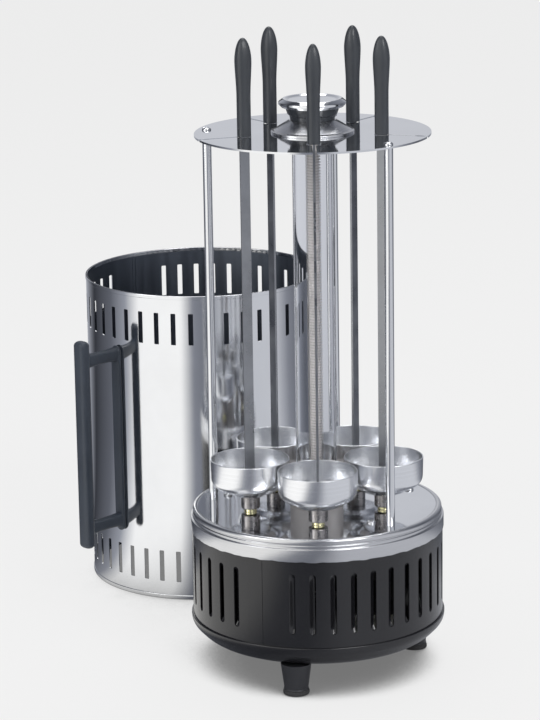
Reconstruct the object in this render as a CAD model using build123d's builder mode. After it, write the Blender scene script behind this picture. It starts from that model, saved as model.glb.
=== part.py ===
from build123d import *

import math
import os

# Electric skewer grill. A geared motor in the round base turns five upright skewers
# about a quartz heater, and a mirror casing, here stood behind the grill, lowers over it.
#
# Millimetres, +Z up, standing on the floor at z = 0. The origin is on the floor under the
# middle of the whole object. Azimuths are degrees about the grill's or the casing's own
# axis: zero faces the front (-Y) and positive turns towards the right (+X).

# ---------------------------------------------------------------- driving dimensions

# clearances
FIT = 0.1  # between assembled pieces that sit in each other, on the radius
RUNNING_FIT = 0.08  # between a turning shaft and its bore, on the radius
LOOSE_FIT = 0.3  # between pieces that lift off each other
CUT_OVERRUN = 0.4  # how far a cut runs past the wall that it goes through

# feet
FOOT_COUNT = 3
FOOT_INSET = 18.2  # from the shell's wall in to the circle of the feet
FOOT_AZIMUTH = -13.4
PAD_RADIUS = 10.3
PAD_HEIGHT = 4.0
PAD_SPIGOT_RADIUS = 5.0
PAD_SPIGOT_HEIGHT = 5.0
POST_FOOT_RADIUS = 9.5
POST_TOP_RADIUS = 12.0
POST_HEIGHT = 21.0

# bottom dish
DISH_STEP = 1.4  # how far the dish stands out past the shell
DISH_DEPTH = 18.0
DISH_WALL = 2.2
DISH_EDGE = 12.0  # of its rounded lower edge, which is two flats
DISH_EDGE_KNEE = 0.293  # of that edge, where the two flats meet
DISH_INNER_CHAMFER = 9.6
DISH_SPIGOT_HEIGHT = 5.0

# body shell
SHELL_RADIUS = 99.2
SHELL_WALL = 1.2
SHELL_HEIGHT = 78.3
SHELL_SEAM_AZIMUTH = -26.3
SHELL_SEAM_WIDTH = 0.6
SHELL_SLOT_PLACES = 39  # per turn
SHELL_EMPTY_PLACES = 2  # beside the seam
SHELL_SLOT_WIDTH = 5.0
SHELL_SLOT_LENGTH = 48.3
SHELL_SLOT_RISE = 10.7  # from the seam with the dish up to the slots
SLOT_CORNER = 0.29  # of a slot's width, cut off each corner of its rounded ends

# rim ring
RIM_SHEET = 0.7
RIM_BAND_HEIGHT = 10.0
RIM_BEAD_WIDTH = 4.4
RIM_BEAD_RISE = 7.5  # above the ledge
RIM_BEAD_BEVEL = 1.2  # on both edges of its crest
RIM_BEAD_CREST = 1.05  # of metal over the hollow in the bead
RIM_BEAD_TO_LEDGE = 1.6  # width of the ledge that the casing stands on
RIM_FLANGE_WIDTH = 4.0

# deck plate
DECK_SHEET = 1.0
DECK_DROP = 0.4  # from the top of the bead down to the deck

# drive train
GEAR_MODULE = 2.0
PRESSURE_ANGLE = 25.0
TOOTH_ADDENDUM = 0.8  # in modules
TOOTH_DEDENDUM = 1.0  # in modules
TOOTH_SLACK = 0.25  # taken off each tooth's width at the pitch circle
GEAR_WIDTH = 8.0
DRIVE_TEETH = 40
SPINDLE_TEETH = 15
PINION_TEETH = 10
GEAR_RUNNING_GAP = 0.3  # between a gear's face and what it turns on
DRIVE_BOSS_RADIUS = 25.0
DRIVE_WINDOW_RADIUS = 4.0
DRIVE_WINDOWS = 6
DRIVE_WINDOW_CIRCLE = 31.5

# spindles and their bushes
SPINDLE_COUNT = 5
SHAFT_RADIUS = 3.0
SHAFT_TAIL = 1.5  # below the gear plate
BUSH_COLLAR_RADIUS = 5.0
BUSH_COLLAR_HEIGHT = 2.4
BUSH_BODY_RADIUS = 4.1
BUSH_BODY_LENGTH = 4.0  # below the deck
SLEEVE_RADIUS = 7.5
SLEEVE_HEIGHT = 12.2
SOCKET_FLOOR = 1.3  # of metal under the blade's tip
NECK_RADIUS = 4.5
NECK_HEIGHT = 3.0
GEAR_BOSS_RADIUS = 5.0

# gear plate, its pillars and the fixed hub
GEAR_PLATE_GAP = 10.0  # from the plate's edge out to the shell
GEAR_PLATE_SHEET = 1.5
GEAR_PLATE_WIRE_HOLE = 10.0
COLLAR_RADIUS = 5.0
COLLAR_HEIGHT = 4.1
PILLAR_RADIUS = 4.0
PILLAR_HEIGHT = 22.6
# share of the way from the spindles' circle out to the rim's bead, and azimuth
PILLAR_PLACES = ((0.346, 36.7), (0.682, 114.0), (0.513, -110.0))
HUB_RADIUS = 19.9
HUB_WALL = 2.4
HUB_SHOULDER_RADIUS = 24.0

# geared motor
MOTOR_RADIUS = 25.0
MOTOR_HEIGHT = 22.0
MOTOR_EAR_ROOT = 2.0  # how deep the ears reach into the can
MOTOR_BOSS_RADIUS = 5.0
MOTOR_BOSS_HEIGHT = 4.0
MOTOR_AZIMUTH = 180.0
MOTOR_EAR_SPAN = 62.0
MOTOR_EAR_WIDTH = 9.0
MOTOR_EAR_SHEET = 1.0
MOTOR_EAR_TURN = 45.0
MOTOR_SHAFT_RADIUS = 2.5
MOTOR_SHAFT_DEPTH = 12.0

# terminal block and cord grommet
BLOCK_LENGTH = 34.0
BLOCK_WIDTH = 18.0
BLOCK_HEIGHT = 13.0
BLOCK_POLES = 3
BLOCK_POLE_PITCH = 10.0
BLOCK_ROUND = 1.3
BLOCK_WELL_RADIUS = 2.6
BLOCK_WELL_DEPTH = 9.0
BLOCK_PLACE = (48.0, 62.0)  # radius, azimuth
GROMMET_INSET = 29.2  # from the shell's wall in to the grommet
GROMMET_AZIMUTH = 180.0
GROMMET_NECK_RADIUS = 5.5
GROMMET_FLANGE_RADIUS = 8.0
GROMMET_FLANGE = 2.2
GROMMET_BORE_RADIUS = 3.5

# screws and nuts
SMALL_SHANK_RADIUS = 1.6
SMALL_HEAD_RADIUS = 3.2
SMALL_HEAD_HEIGHT = 2.0
FOOT_SCREW_LENGTH = 14.0
MOTOR_SCREW_LENGTH = 4.5
PAN_SHANK_RADIUS = 1.9
PAN_HEAD_RADIUS = 3.6
PAN_HEAD_HEIGHT = 2.3
PAN_SCREW_LENGTH = 9.0
STUD_RADIUS = 2.0
NUT_FLATS = 7.0
NUT_HEIGHT = 3.2

# heater
HEATER_BASE_RADIUS = 21.0
HEATER_BASE_HEIGHT = 26.9
TUBE_RADIUS = 16.0
TUBE_WALL = 1.8
TUBE_SEAT_DEPTH = 10.0
CORE_RADIUS = 6.0
CORE_TAIL = 10.0  # below the deck
SOCKET_RADIUS = 14.0
CAP_RADIUS = 19.0
CAP_HEIGHT = 10.0
CAP_SEAT_DEPTH = 5.0

# support rods and top plate
ROD_RADIUS = 3.5
ROD_SHARE = 0.718  # of the way from the spindles' circle out to the rim's bead
ROD_LENGTH = 295.4
ROD_AZIMUTHS = {"left": -101.0, "right": 42.0, "rear": 168.0}
PLATE_MARGIN = 8.0  # from the rods' circle out to the plate's edge
PLATE_SHEET = 1.5
PLATE_HOLE_RADIUS = 5.7
PLATE_SLOT_WIDTH = 3.0

# knob
FLANGE_RADIUS = 32.0
FLANGE_EDGE = 2.0
FLANGE_HEIGHT = 10.0
FLANGE_TOP_RADIUS = 17.6
NECK_FOOT_RADIUS = 17.0
NECK_TOP_RADIUS = 21.0
KNOB_NECK_HEIGHT = 9.8
KNOB_STUD_RADIUS = 3.0
KNOB_STUD_REACH = 3.5  # into the heater cap
KNOB_RADIUS = 26.0
KNOB_HEIGHT = 6.5
KNOB_EDGE = 1.5
KNOB_DISH_RADIUS = 19.5
KNOB_DISH_DEPTH = 1.2

# drip cups
CUP_SHEET = 0.9
CUP_HOLE_RADIUS = 4.8
CUP_BASE_RADIUS = 19.0
CUP_RADIUS = 31.0
CUP_WALL_RISE = 10.0
CUP_HEIGHT = 28.0

# skewers
BLADE_WIDTH = 7.6
BLADE_SHEET = 1.8
BLADE_POINT = 12.5
BLADE_TANG = 44.0  # inside the handle
HANDLE_GAP = 0.4  # above the top plate
HANDLE_HEIGHT = 75.1
HANDLE_THICKNESS = 0.94  # of a handle's width, all along it
HANDLE_BEVEL = 0.27  # of a handle's width, off each of its four edges
# height as a share of the handle's, and width there
HANDLE_WIDTHS = ((0.0, 10.5), (0.45, 10.9), (0.79, 12.8), (0.93, 10.4), (1.0, 5.4))

# casing
CASING_SHIFT_X = -93.0  # from the grill's axis to the casing's axis
CASING_SHIFT_Y = 249.0
CASING_WALL = 0.8
CASING_HEIGHT = 264.0
CASING_HEM = 0.5  # how far the hem stands proud
CASING_HEM_HEIGHT = 3.0
CASING_SLOT_PLACES = 42  # per turn
CASING_EMPTY_PLACES = 3  # at the seam
CASING_SLOT_WIDTH = 4.2
CASING_SLOT_LENGTH = 27.0
CASING_SLOT_MARGIN = 15.0  # from the end of the casing to its slots
CASING_SEAM_AZIMUTH = -141.6

# casing handle
HANDLE_AZIMUTH = -45.0
GRIP_REACH = 40.4  # from the casing's wall to the middle of the grip
GRIP_WIDTH = 13.0
GRIP_DEPTH = 10.0
GRIP_ROUND = 4.0
GRIP_BEVEL = 2.5  # around both of its ends
GRIP_BELOW = 7.0  # from the strip's lower end down to the grip's
GRIP_ABOVE = 10.5  # from the strip's upper end up to the grip's
STRIP_WIDTH = 10.0
STRIP_DEPTH = 4.0
STRIP_HEAD = 1.0  # of strip above the upper arm
STRIP_FOOT = 54.5
ARM_HEIGHT = 12.5
ARM_WIDTH = 9.0
ARM_INSET = 3.5  # from the strip's lower end to the lower arm
ARM_SPAN = 145.0  # from arm to arm, middle to middle
STRIP_SCREW_DEPTH = 3.0

# ---------------------------------------------------------------- heights and places

dish_bottom = PAD_HEIGHT + POST_HEIGHT
dish_floor = dish_bottom + DISH_WALL
seam = dish_bottom + DISH_DEPTH
shell_top = seam + SHELL_HEIGHT
shell_inner = SHELL_RADIUS - SHELL_WALL
dish_radius = SHELL_RADIUS + DISH_STEP
foot_circle = SHELL_RADIUS - FOOT_INSET

rim_radius = SHELL_RADIUS + FIT + RIM_SHEET
ledge = shell_top + RIM_SHEET
bead_radius = rim_radius - RIM_BEAD_TO_LEDGE
bead_inner = bead_radius - RIM_BEAD_WIDTH
bead_top = ledge + RIM_BEAD_RISE
deck_top = bead_top - DECK_DROP
deck_bottom = deck_top - DECK_SHEET

gear_plate_top = deck_bottom - PILLAR_HEIGHT
gear_plate_bottom = gear_plate_top - GEAR_PLATE_SHEET
collar_top = gear_plate_top + COLLAR_HEIGHT
gear_bottom = collar_top + GEAR_RUNNING_GAP
gear_top = gear_bottom + GEAR_WIDTH

spindle_circle = GEAR_MODULE * (DRIVE_TEETH + SPINDLE_TEETH) / 2
motor_circle = GEAR_MODULE * (DRIVE_TEETH + PINION_TEETH) / 2
gear_plate_radius = shell_inner - GEAR_PLATE_GAP
rod_circle = spindle_circle + ROD_SHARE * (bead_inner - spindle_circle)
plate_radius = rod_circle + PLATE_MARGIN
pillar_places = [
    (spindle_circle + share * (bead_inner - spindle_circle), azimuth)
    for share, azimuth in PILLAR_PLACES
]
spindle_pitch = 360.0 / SPINDLE_COUNT

bush_top = deck_top + BUSH_COLLAR_HEIGHT
bush_bottom = deck_bottom - BUSH_BODY_LENGTH
sleeve_bottom = bush_top + GEAR_RUNNING_GAP
sleeve_top = sleeve_bottom + SLEEVE_HEIGHT
blade_tip = sleeve_bottom + SOCKET_FLOOR + LOOSE_FIT

motor_bottom = gear_plate_bottom - MOTOR_HEIGHT
base_top = deck_top + HEATER_BASE_HEIGHT
plate_bottom = deck_top + ROD_LENGTH
plate_top = plate_bottom + PLATE_SHEET
cap_bottom = plate_bottom - CAP_HEIGHT
tube_top = cap_bottom + CAP_SEAT_DEPTH
neck_bottom = plate_top + FLANGE_HEIGHT
knob_bottom = neck_bottom + KNOB_NECK_HEIGHT

handle_bottom = plate_top + HANDLE_GAP
casing_inner = bead_radius + LOOSE_FIT
casing_radius = casing_inner + CASING_WALL
hem_radius = casing_radius + CASING_HEM
grip_circle = casing_radius + GRIP_REACH
strip_length = ARM_INSET + ARM_HEIGHT + ARM_SPAN + STRIP_HEAD
grip_bottom = STRIP_FOOT - GRIP_BELOW
grip_length = GRIP_BELOW + strip_length + GRIP_ABOVE


def reach_of_grip(turn):
    """How far the rounded grip bar reaches to the left of the casing's axis."""
    across = abs(math.cos(math.radians(turn)))
    along = abs(math.sin(math.radians(turn)))
    corner = (GRIP_WIDTH / 2 - GRIP_ROUND) * across + (GRIP_DEPTH / 2 - GRIP_ROUND) * along
    return grip_circle * along + corner + GRIP_ROUND


# The origin is the middle of the whole object's outline, seen from above.
widest = max(dish_radius, rim_radius)
grill_x = (max(hem_radius, reach_of_grip(HANDLE_AZIMUTH)) - CASING_SHIFT_X - widest) / 2
grill_y = (widest - CASING_SHIFT_Y - hem_radius) / 2
casing_x = grill_x + CASING_SHIFT_X
casing_y = grill_y + CASING_SHIFT_Y

GRILL = Plane(origin=(grill_x, grill_y, 0), x_dir=(0, -1, 0), z_dir=(0, 0, 1))
CASING = Plane(origin=(casing_x, casing_y, 0), x_dir=(0, -1, 0), z_dir=(0, 0, 1))

spindle_azimuths = [spindle_pitch * index for index in range(SPINDLE_COUNT)]
foot_azimuths = [FOOT_AZIMUTH + 360.0 / FOOT_COUNT * index for index in range(FOOT_COUNT)]

# ---------------------------------------------------------------- helpers


def level(height):
    """The horizontal plane at a height, on the grill's axis, with local x to the front."""
    return GRILL.offset(height)


def spot(radius, azimuth):
    """Local point on a horizontal plane at a radius and an azimuth."""
    turn = math.radians(azimuth)
    return (radius * math.cos(turn), radius * math.sin(turn))


def stand(radius=0.0, azimuth=0.0, ground=GRILL):
    """Upright plane through a vertical axis: local x is outward and local y is up."""
    x, y = spot(radius, azimuth)
    foot = ground.from_local_coords(Vector(x, y, 0))
    outward = ground.from_local_coords(Vector(*spot(1, azimuth), 0)) - ground.origin
    return Plane(origin=foot, x_dir=outward, z_dir=outward.cross(Vector(0, 0, 1)))


def turned(profile, place, mode=Mode.ADD):
    """Revolve a closed (radius, height) outline about the vertical axis of a stand."""
    with BuildSketch(place) as section:
        with BuildLine():
            Polyline(*profile, close=True)
        make_face()
    revolve(section.sketch, axis=Axis(place.origin, (0, 0, 1)), mode=mode)


def ring(inner, outer, low, high):
    """Outline of a plain ring, or of a disc where the inner radius is zero."""
    return [(inner, low), (outer, low), (outer, high), (inner, high)]


def screw_outline(seat, head_radius, head_height, shank_radius, length, up):
    """Outline of a pan-head screw whose head rests on a seat and points up or down."""
    crown = seat + up * head_height
    tip = seat - up * length
    return [
        (0, tip),
        (shank_radius, tip),
        (shank_radius, seat),
        (head_radius, seat),
        (head_radius, crown),
        (0, crown),
    ]


def gear_outline(teeth, first):
    """Toothed outline: involute flanks, each a chord below and one above the pitch circle.

    first is the azimuth of the middle of the first tooth, in degrees.
    """
    pitch_radius = GEAR_MODULE * teeth / 2
    base_radius = pitch_radius * math.cos(math.radians(PRESSURE_ANGLE))
    tooth_width = math.pi * GEAR_MODULE / 2 - TOOTH_SLACK
    radii = (
        pitch_radius - TOOTH_DEDENDUM * GEAR_MODULE,
        pitch_radius,
        pitch_radius + TOOTH_ADDENDUM * GEAR_MODULE,
    )

    def involute(angle):
        return math.tan(angle) - angle

    def half_angle(radius):
        roll = math.acos(min(1.0, base_radius / radius))
        at_pitch = tooth_width / (2 * pitch_radius)
        return math.degrees(at_pitch + involute(math.radians(PRESSURE_ANGLE)) - involute(roll))

    outline = []
    for tooth in range(teeth):
        middle = first + tooth * 360.0 / teeth
        outline += [spot(radius, middle - half_angle(radius)) for radius in radii]
        outline += [spot(radius, middle + half_angle(radius)) for radius in reversed(radii)]
    return outline


def toothed_disc(teeth, first, radius=0.0, azimuth=0.0):
    """Extrude a gear's outline on its own axis between the gears' two faces."""
    centre = level(gear_bottom).from_local_coords(Vector(*spot(radius, azimuth), 0))
    with BuildSketch(Plane(origin=centre, x_dir=GRILL.x_dir, z_dir=(0, 0, 1))) as blank:
        with BuildLine():
            Polyline(*gear_outline(teeth, first), close=True)
        make_face()
    extrude(blank.sketch, amount=GEAR_WIDTH)


def vent_slot(length, width):
    """Sketch an upright slot whose rounded ends are three short flats each."""
    slot = Rectangle(width, length)
    chamfer(slot.vertices(), length=SLOT_CORNER * width)


def slot_planes(ground, radius, height, places, left_out, seam_azimuth):
    """Planes just outside a wall, evenly spaced, without the places nearest the seam."""
    pitch = 360.0 / places
    planes = []
    for index in range(places - left_out):
        azimuth = seam_azimuth + pitch * (index + (left_out + 1) / 2)
        face = stand(radius, azimuth, ground)
        centre = face.origin + Vector(0, 0, height)
        planes.append(Plane(origin=centre, x_dir=face.z_dir, z_dir=face.x_dir))
    return planes


os.makedirs("parts", exist_ok=True)

# ---------------------------------------------------------------- base: feet and housing

post_socket_top = PAD_HEIGHT + PAD_SPIGOT_HEIGHT + FIT
foot_screw_tip = dish_floor - FOOT_SCREW_LENGTH

with BuildPart() as foot_pads:
    for azimuth in foot_azimuths:
        pad_outline = [
            (0, 0),
            (PAD_RADIUS, 0),
            (PAD_RADIUS, PAD_HEIGHT),
            (PAD_SPIGOT_RADIUS, PAD_HEIGHT),
            (PAD_SPIGOT_RADIUS, PAD_HEIGHT + PAD_SPIGOT_HEIGHT),
            (0, PAD_HEIGHT + PAD_SPIGOT_HEIGHT),
        ]
        turned(pad_outline, stand(foot_circle, azimuth))
foot_pads.part.label = "foot_pads"
export_step(foot_pads.part, "parts/foot_pads.step")

with BuildPart() as foot_posts:
    for azimuth in foot_azimuths:
        post_outline = [
            (0, post_socket_top),
            (PAD_SPIGOT_RADIUS + FIT, post_socket_top),
            (PAD_SPIGOT_RADIUS + FIT, PAD_HEIGHT),
            (POST_FOOT_RADIUS, PAD_HEIGHT),
            (POST_TOP_RADIUS, dish_bottom),
            (SMALL_SHANK_RADIUS + FIT, dish_bottom),
            (SMALL_SHANK_RADIUS + FIT, foot_screw_tip - FIT),
            (0, foot_screw_tip - FIT),
        ]
        turned(post_outline, stand(foot_circle, azimuth))
foot_posts.part.label = "foot_posts"
export_step(foot_posts.part, "parts/foot_posts.step")

dish_spigot = shell_inner - FIT
dish_wall_inner = dish_spigot - DISH_WALL
dish_edge_knee = DISH_EDGE * DISH_EDGE_KNEE
grommet_place = (SHELL_RADIUS - GROMMET_INSET, GROMMET_AZIMUTH)

with BuildPart() as bottom_dish:
    dish_outline = [
        (0, dish_bottom),
        (dish_radius - DISH_EDGE, dish_bottom),
        (dish_radius - dish_edge_knee, dish_bottom + dish_edge_knee),
        (dish_radius, dish_bottom + DISH_EDGE),
        (dish_radius, seam),
        (dish_spigot, seam),
        (dish_spigot, seam + DISH_SPIGOT_HEIGHT),
        (dish_wall_inner, seam + DISH_SPIGOT_HEIGHT),
        (dish_wall_inner, dish_floor + DISH_INNER_CHAMFER),
        (dish_wall_inner - DISH_INNER_CHAMFER, dish_floor),
        (0, dish_floor),
    ]
    turned(dish_outline, stand())
    with BuildSketch(level(dish_bottom)):
        with Locations(*[spot(foot_circle, azimuth) for azimuth in foot_azimuths]):
            Circle(SMALL_SHANK_RADIUS + FIT)
        with Locations(spot(*grommet_place)):
            Circle(GROMMET_NECK_RADIUS + FIT)
    extrude(amount=DISH_WALL, mode=Mode.SUBTRACT)
bottom_dish.part.label = "bottom_dish"
export_step(bottom_dish.part, "parts/bottom_dish.step")

shell_slot_middle = seam + SHELL_SLOT_RISE + SHELL_SLOT_LENGTH / 2

with BuildPart() as body_shell:
    with BuildSketch(level(seam)):
        Circle(SHELL_RADIUS)
        Circle(shell_inner, mode=Mode.SUBTRACT)
    extrude(amount=SHELL_HEIGHT)
    shell_slots = slot_planes(
        GRILL,
        SHELL_RADIUS + CUT_OVERRUN,
        shell_slot_middle,
        SHELL_SLOT_PLACES,
        SHELL_EMPTY_PLACES,
        SHELL_SEAM_AZIMUTH,
    )
    with BuildSketch(*shell_slots):
        vent_slot(SHELL_SLOT_LENGTH, SHELL_SLOT_WIDTH)
    extrude(amount=-(SHELL_WALL + 2 * CUT_OVERRUN), mode=Mode.SUBTRACT)
    seam_face = stand(SHELL_RADIUS, SHELL_SEAM_AZIMUTH)
    with BuildSketch(Plane(seam_face.origin + Vector(0, 0, seam), seam_face.x_dir, (0, 0, 1))):
        Rectangle(SHELL_WALL, SHELL_SEAM_WIDTH)
    extrude(amount=SHELL_HEIGHT, mode=Mode.SUBTRACT)
body_shell.part.label = "body_shell"
export_step(body_shell.part, "parts/body_shell.step")

band_bottom = ledge - RIM_BAND_HEIGHT

with BuildPart() as rim_ring:
    with BuildSketch(stand()) as rim_section:
        with Locations((bead_inner, shell_top)):
            Rectangle(RIM_BEAD_WIDTH, bead_top - shell_top, align=(Align.MIN, Align.MIN))
        crest = rim_section.vertices().group_by(Axis.Y)[-1]
        chamfer(crest, length=RIM_BEAD_BEVEL)
        with Locations((bead_inner + RIM_SHEET, shell_top)):
            Rectangle(
                RIM_BEAD_WIDTH - 2 * RIM_SHEET,
                bead_top - shell_top - RIM_BEAD_CREST,
                align=(Align.MIN, Align.MIN),
                mode=Mode.SUBTRACT,
            )
        with Locations((bead_radius - RIM_SHEET, shell_top)):
            Rectangle(RIM_BEAD_TO_LEDGE + RIM_SHEET, RIM_SHEET, align=(Align.MIN, Align.MIN))
        with Locations((rim_radius - RIM_SHEET, band_bottom)):
            Rectangle(RIM_SHEET, RIM_BAND_HEIGHT, align=(Align.MIN, Align.MIN))
        with Locations((bead_inner - RIM_FLANGE_WIDTH, deck_bottom - RIM_SHEET)):
            Rectangle(RIM_FLANGE_WIDTH + RIM_SHEET, RIM_SHEET, align=(Align.MIN, Align.MIN))
    revolve(axis=Axis(GRILL.origin, (0, 0, 1)))
rim_ring.part.label = "rim_ring"
export_step(rim_ring.part, "parts/rim_ring.step")

rod_places = [(rod_circle, azimuth) for azimuth in ROD_AZIMUTHS.values()]
rod_spots = [spot(*place) for place in rod_places]
pillar_spots = [spot(*place) for place in pillar_places]
spindle_spots = [spot(spindle_circle, azimuth) for azimuth in spindle_azimuths]

with BuildPart() as deck_plate:
    with BuildSketch(level(deck_bottom)):
        Circle(bead_inner - FIT)
        Circle(SOCKET_RADIUS + FIT, mode=Mode.SUBTRACT)
        with Locations(*spindle_spots):
            Circle(BUSH_BODY_RADIUS + FIT, mode=Mode.SUBTRACT)
        with Locations(*rod_spots):
            Circle(STUD_RADIUS + FIT, mode=Mode.SUBTRACT)
        with Locations(*pillar_spots):
            Circle(PAN_SHANK_RADIUS + FIT, mode=Mode.SUBTRACT)
    extrude(amount=DECK_SHEET)
deck_plate.part.label = "deck_plate"
export_step(deck_plate.part, "parts/deck_plate.step")

with BuildPart() as deck_bushes:
    for azimuth in spindle_azimuths:
        bush_outline = [
            (SHAFT_RADIUS + RUNNING_FIT, bush_bottom),
            (BUSH_BODY_RADIUS, bush_bottom),
            (BUSH_BODY_RADIUS, deck_top),
            (BUSH_COLLAR_RADIUS, deck_top),
            (BUSH_COLLAR_RADIUS, bush_top),
            (SHAFT_RADIUS + RUNNING_FIT, bush_top),
        ]
        turned(bush_outline, stand(spindle_circle, azimuth))
deck_bushes.part.label = "deck_bushes"
export_step(deck_bushes.part, "parts/deck_bushes.step")

# ---------------------------------------------------------------- base: what carries the drive

motor_spot = spot(motor_circle, MOTOR_AZIMUTH)
ear_reach = MOTOR_EAR_SPAN / 2
ear_spots = [
    (
        motor_spot[0] + side * ear_reach * math.cos(math.radians(MOTOR_EAR_TURN)),
        motor_spot[1] + side * ear_reach * math.sin(math.radians(MOTOR_EAR_TURN)),
    )
    for side in (-1, 1)
]

with BuildPart() as gear_plate:
    with BuildSketch(level(gear_plate_bottom)):
        Circle(gear_plate_radius)
        Circle(GEAR_PLATE_WIRE_HOLE, mode=Mode.SUBTRACT)
        with Locations(motor_spot):
            Circle(MOTOR_BOSS_RADIUS + FIT, mode=Mode.SUBTRACT)
        with Locations(*pillar_spots):
            Circle(STUD_RADIUS + FIT, mode=Mode.SUBTRACT)
        with Locations(*ear_spots):
            Circle(SMALL_SHANK_RADIUS + FIT, mode=Mode.SUBTRACT)
    extrude(amount=GEAR_PLATE_SHEET)
    with BuildSketch(level(gear_plate_top)):
        with Locations(*spindle_spots):
            Circle(COLLAR_RADIUS)
    extrude(amount=COLLAR_HEIGHT)
    with BuildSketch(level(gear_plate_bottom)):
        with Locations(*spindle_spots):
            Circle(SHAFT_RADIUS + RUNNING_FIT)
    extrude(amount=GEAR_PLATE_SHEET + COLLAR_HEIGHT, mode=Mode.SUBTRACT)
gear_plate.part.label = "gear_plate"
export_step(gear_plate.part, "parts/gear_plate.step")

pillar_screw_tip = deck_top - PAN_SCREW_LENGTH - FIT
pillar_stud_tip = gear_plate_bottom - NUT_HEIGHT

with BuildPart() as gear_plate_pillars:
    for place in pillar_places:
        pillar_outline = [
            (0, pillar_stud_tip),
            (STUD_RADIUS, pillar_stud_tip),
            (STUD_RADIUS, gear_plate_top),
            (PILLAR_RADIUS, gear_plate_top),
            (PILLAR_RADIUS, deck_bottom),
            (PAN_SHANK_RADIUS + FIT, deck_bottom),
            (PAN_SHANK_RADIUS + FIT, pillar_screw_tip),
            (0, pillar_screw_tip),
        ]
        turned(pillar_outline, stand(*place))
gear_plate_pillars.part.label = "gear_plate_pillars"
export_step(gear_plate_pillars.part, "parts/gear_plate_pillars.step")

with BuildPart() as hub_sleeve:
    hub_outline = [
        (HUB_RADIUS - HUB_WALL, gear_plate_top),
        (HUB_SHOULDER_RADIUS, gear_plate_top),
        (HUB_SHOULDER_RADIUS, collar_top),
        (HUB_RADIUS, collar_top),
        (HUB_RADIUS, deck_bottom),
        (HUB_RADIUS - HUB_WALL, deck_bottom),
    ]
    turned(hub_outline, stand())
hub_sleeve.part.label = "hub_sleeve"
export_step(hub_sleeve.part, "parts/hub_sleeve.step")

motor_bore_floor = gear_plate_bottom - MOTOR_SHAFT_DEPTH
motor_boss_top = gear_plate_bottom + MOTOR_BOSS_HEIGHT

with BuildPart() as motor_can:
    can_outline = [
        (0, motor_bottom),
        (MOTOR_RADIUS, motor_bottom),
        (MOTOR_RADIUS, gear_plate_bottom),
        (MOTOR_BOSS_RADIUS, gear_plate_bottom),
        (MOTOR_BOSS_RADIUS, motor_boss_top),
        (MOTOR_SHAFT_RADIUS + RUNNING_FIT, motor_boss_top),
        (MOTOR_SHAFT_RADIUS + RUNNING_FIT, motor_bore_floor),
        (0, motor_bore_floor),
    ]
    turned(can_outline, stand(motor_circle, MOTOR_AZIMUTH))
    with BuildSketch(level(gear_plate_bottom)):
        with Locations(motor_spot):
            SlotCenterToCenter(MOTOR_EAR_SPAN, MOTOR_EAR_WIDTH, rotation=MOTOR_EAR_TURN)
            Circle(MOTOR_RADIUS - MOTOR_EAR_ROOT, mode=Mode.SUBTRACT)
        with Locations(*ear_spots):
            Circle(SMALL_SHANK_RADIUS + FIT, mode=Mode.SUBTRACT)
    extrude(amount=-MOTOR_EAR_SHEET)
motor_can.part.label = "motor_can"
export_step(motor_can.part, "parts/motor_can.step")

with BuildPart() as base_screws:
    foot_screw = screw_outline(
        dish_floor, SMALL_HEAD_RADIUS, SMALL_HEAD_HEIGHT, SMALL_SHANK_RADIUS, FOOT_SCREW_LENGTH, 1
    )
    for azimuth in foot_azimuths:
        turned(foot_screw, stand(foot_circle, azimuth))
    motor_screw = screw_outline(
        gear_plate_bottom - MOTOR_EAR_SHEET,
        SMALL_HEAD_RADIUS,
        SMALL_HEAD_HEIGHT,
        SMALL_SHANK_RADIUS,
        MOTOR_SCREW_LENGTH,
        -1,
    )
    for x, y in ear_spots:
        turned(motor_screw, stand(math.hypot(x, y), math.degrees(math.atan2(y, x))))
base_screws.part.label = "base_screws"
export_step(base_screws.part, "parts/base_screws.step")

with BuildPart() as terminal_block:
    block_centre = level(dish_floor).from_local_coords(Vector(*spot(*BLOCK_PLACE), 0))
    with BuildSketch(Plane(origin=block_centre, z_dir=(0, 0, 1))):
        RectangleRounded(BLOCK_LENGTH, BLOCK_WIDTH, BLOCK_ROUND)
    extrude(amount=BLOCK_HEIGHT)
    with BuildSketch(Plane(origin=block_centre + Vector(0, 0, BLOCK_HEIGHT), z_dir=(0, 0, 1))):
        with GridLocations(BLOCK_POLE_PITCH, BLOCK_WIDTH / 2, BLOCK_POLES, 1):
            Circle(BLOCK_WELL_RADIUS)
    extrude(amount=-BLOCK_WELL_DEPTH, mode=Mode.SUBTRACT)
terminal_block.part.label = "terminal_block"
export_step(terminal_block.part, "parts/terminal_block.step")

with BuildPart() as cord_grommet:
    grommet_outline = [
        (GROMMET_BORE_RADIUS, dish_bottom - GROMMET_FLANGE),
        (GROMMET_FLANGE_RADIUS, dish_bottom - GROMMET_FLANGE),
        (GROMMET_FLANGE_RADIUS, dish_bottom),
        (GROMMET_NECK_RADIUS, dish_bottom),
        (GROMMET_NECK_RADIUS, dish_floor),
        (GROMMET_FLANGE_RADIUS, dish_floor),
        (GROMMET_FLANGE_RADIUS, dish_floor + GROMMET_FLANGE),
        (GROMMET_BORE_RADIUS, dish_floor + GROMMET_FLANGE),
    ]
    turned(grommet_outline, stand(*grommet_place))
cord_grommet.part.label = "cord_grommet"
export_step(cord_grommet.part, "parts/cord_grommet.step")

with BuildPart() as hex_nuts:
    for height, spots in ((deck_bottom, rod_spots), (gear_plate_bottom, pillar_spots)):
        with BuildSketch(level(height)):
            with Locations(*spots):
                RegularPolygon(NUT_FLATS / 2, 6, major_radius=False)
                Circle(STUD_RADIUS + FIT, mode=Mode.SUBTRACT)
        extrude(amount=-NUT_HEIGHT)
hex_nuts.part.label = "hex_nuts"
export_step(hex_nuts.part, "parts/hex_nuts.step")

# ---------------------------------------------------------------- gears

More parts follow.
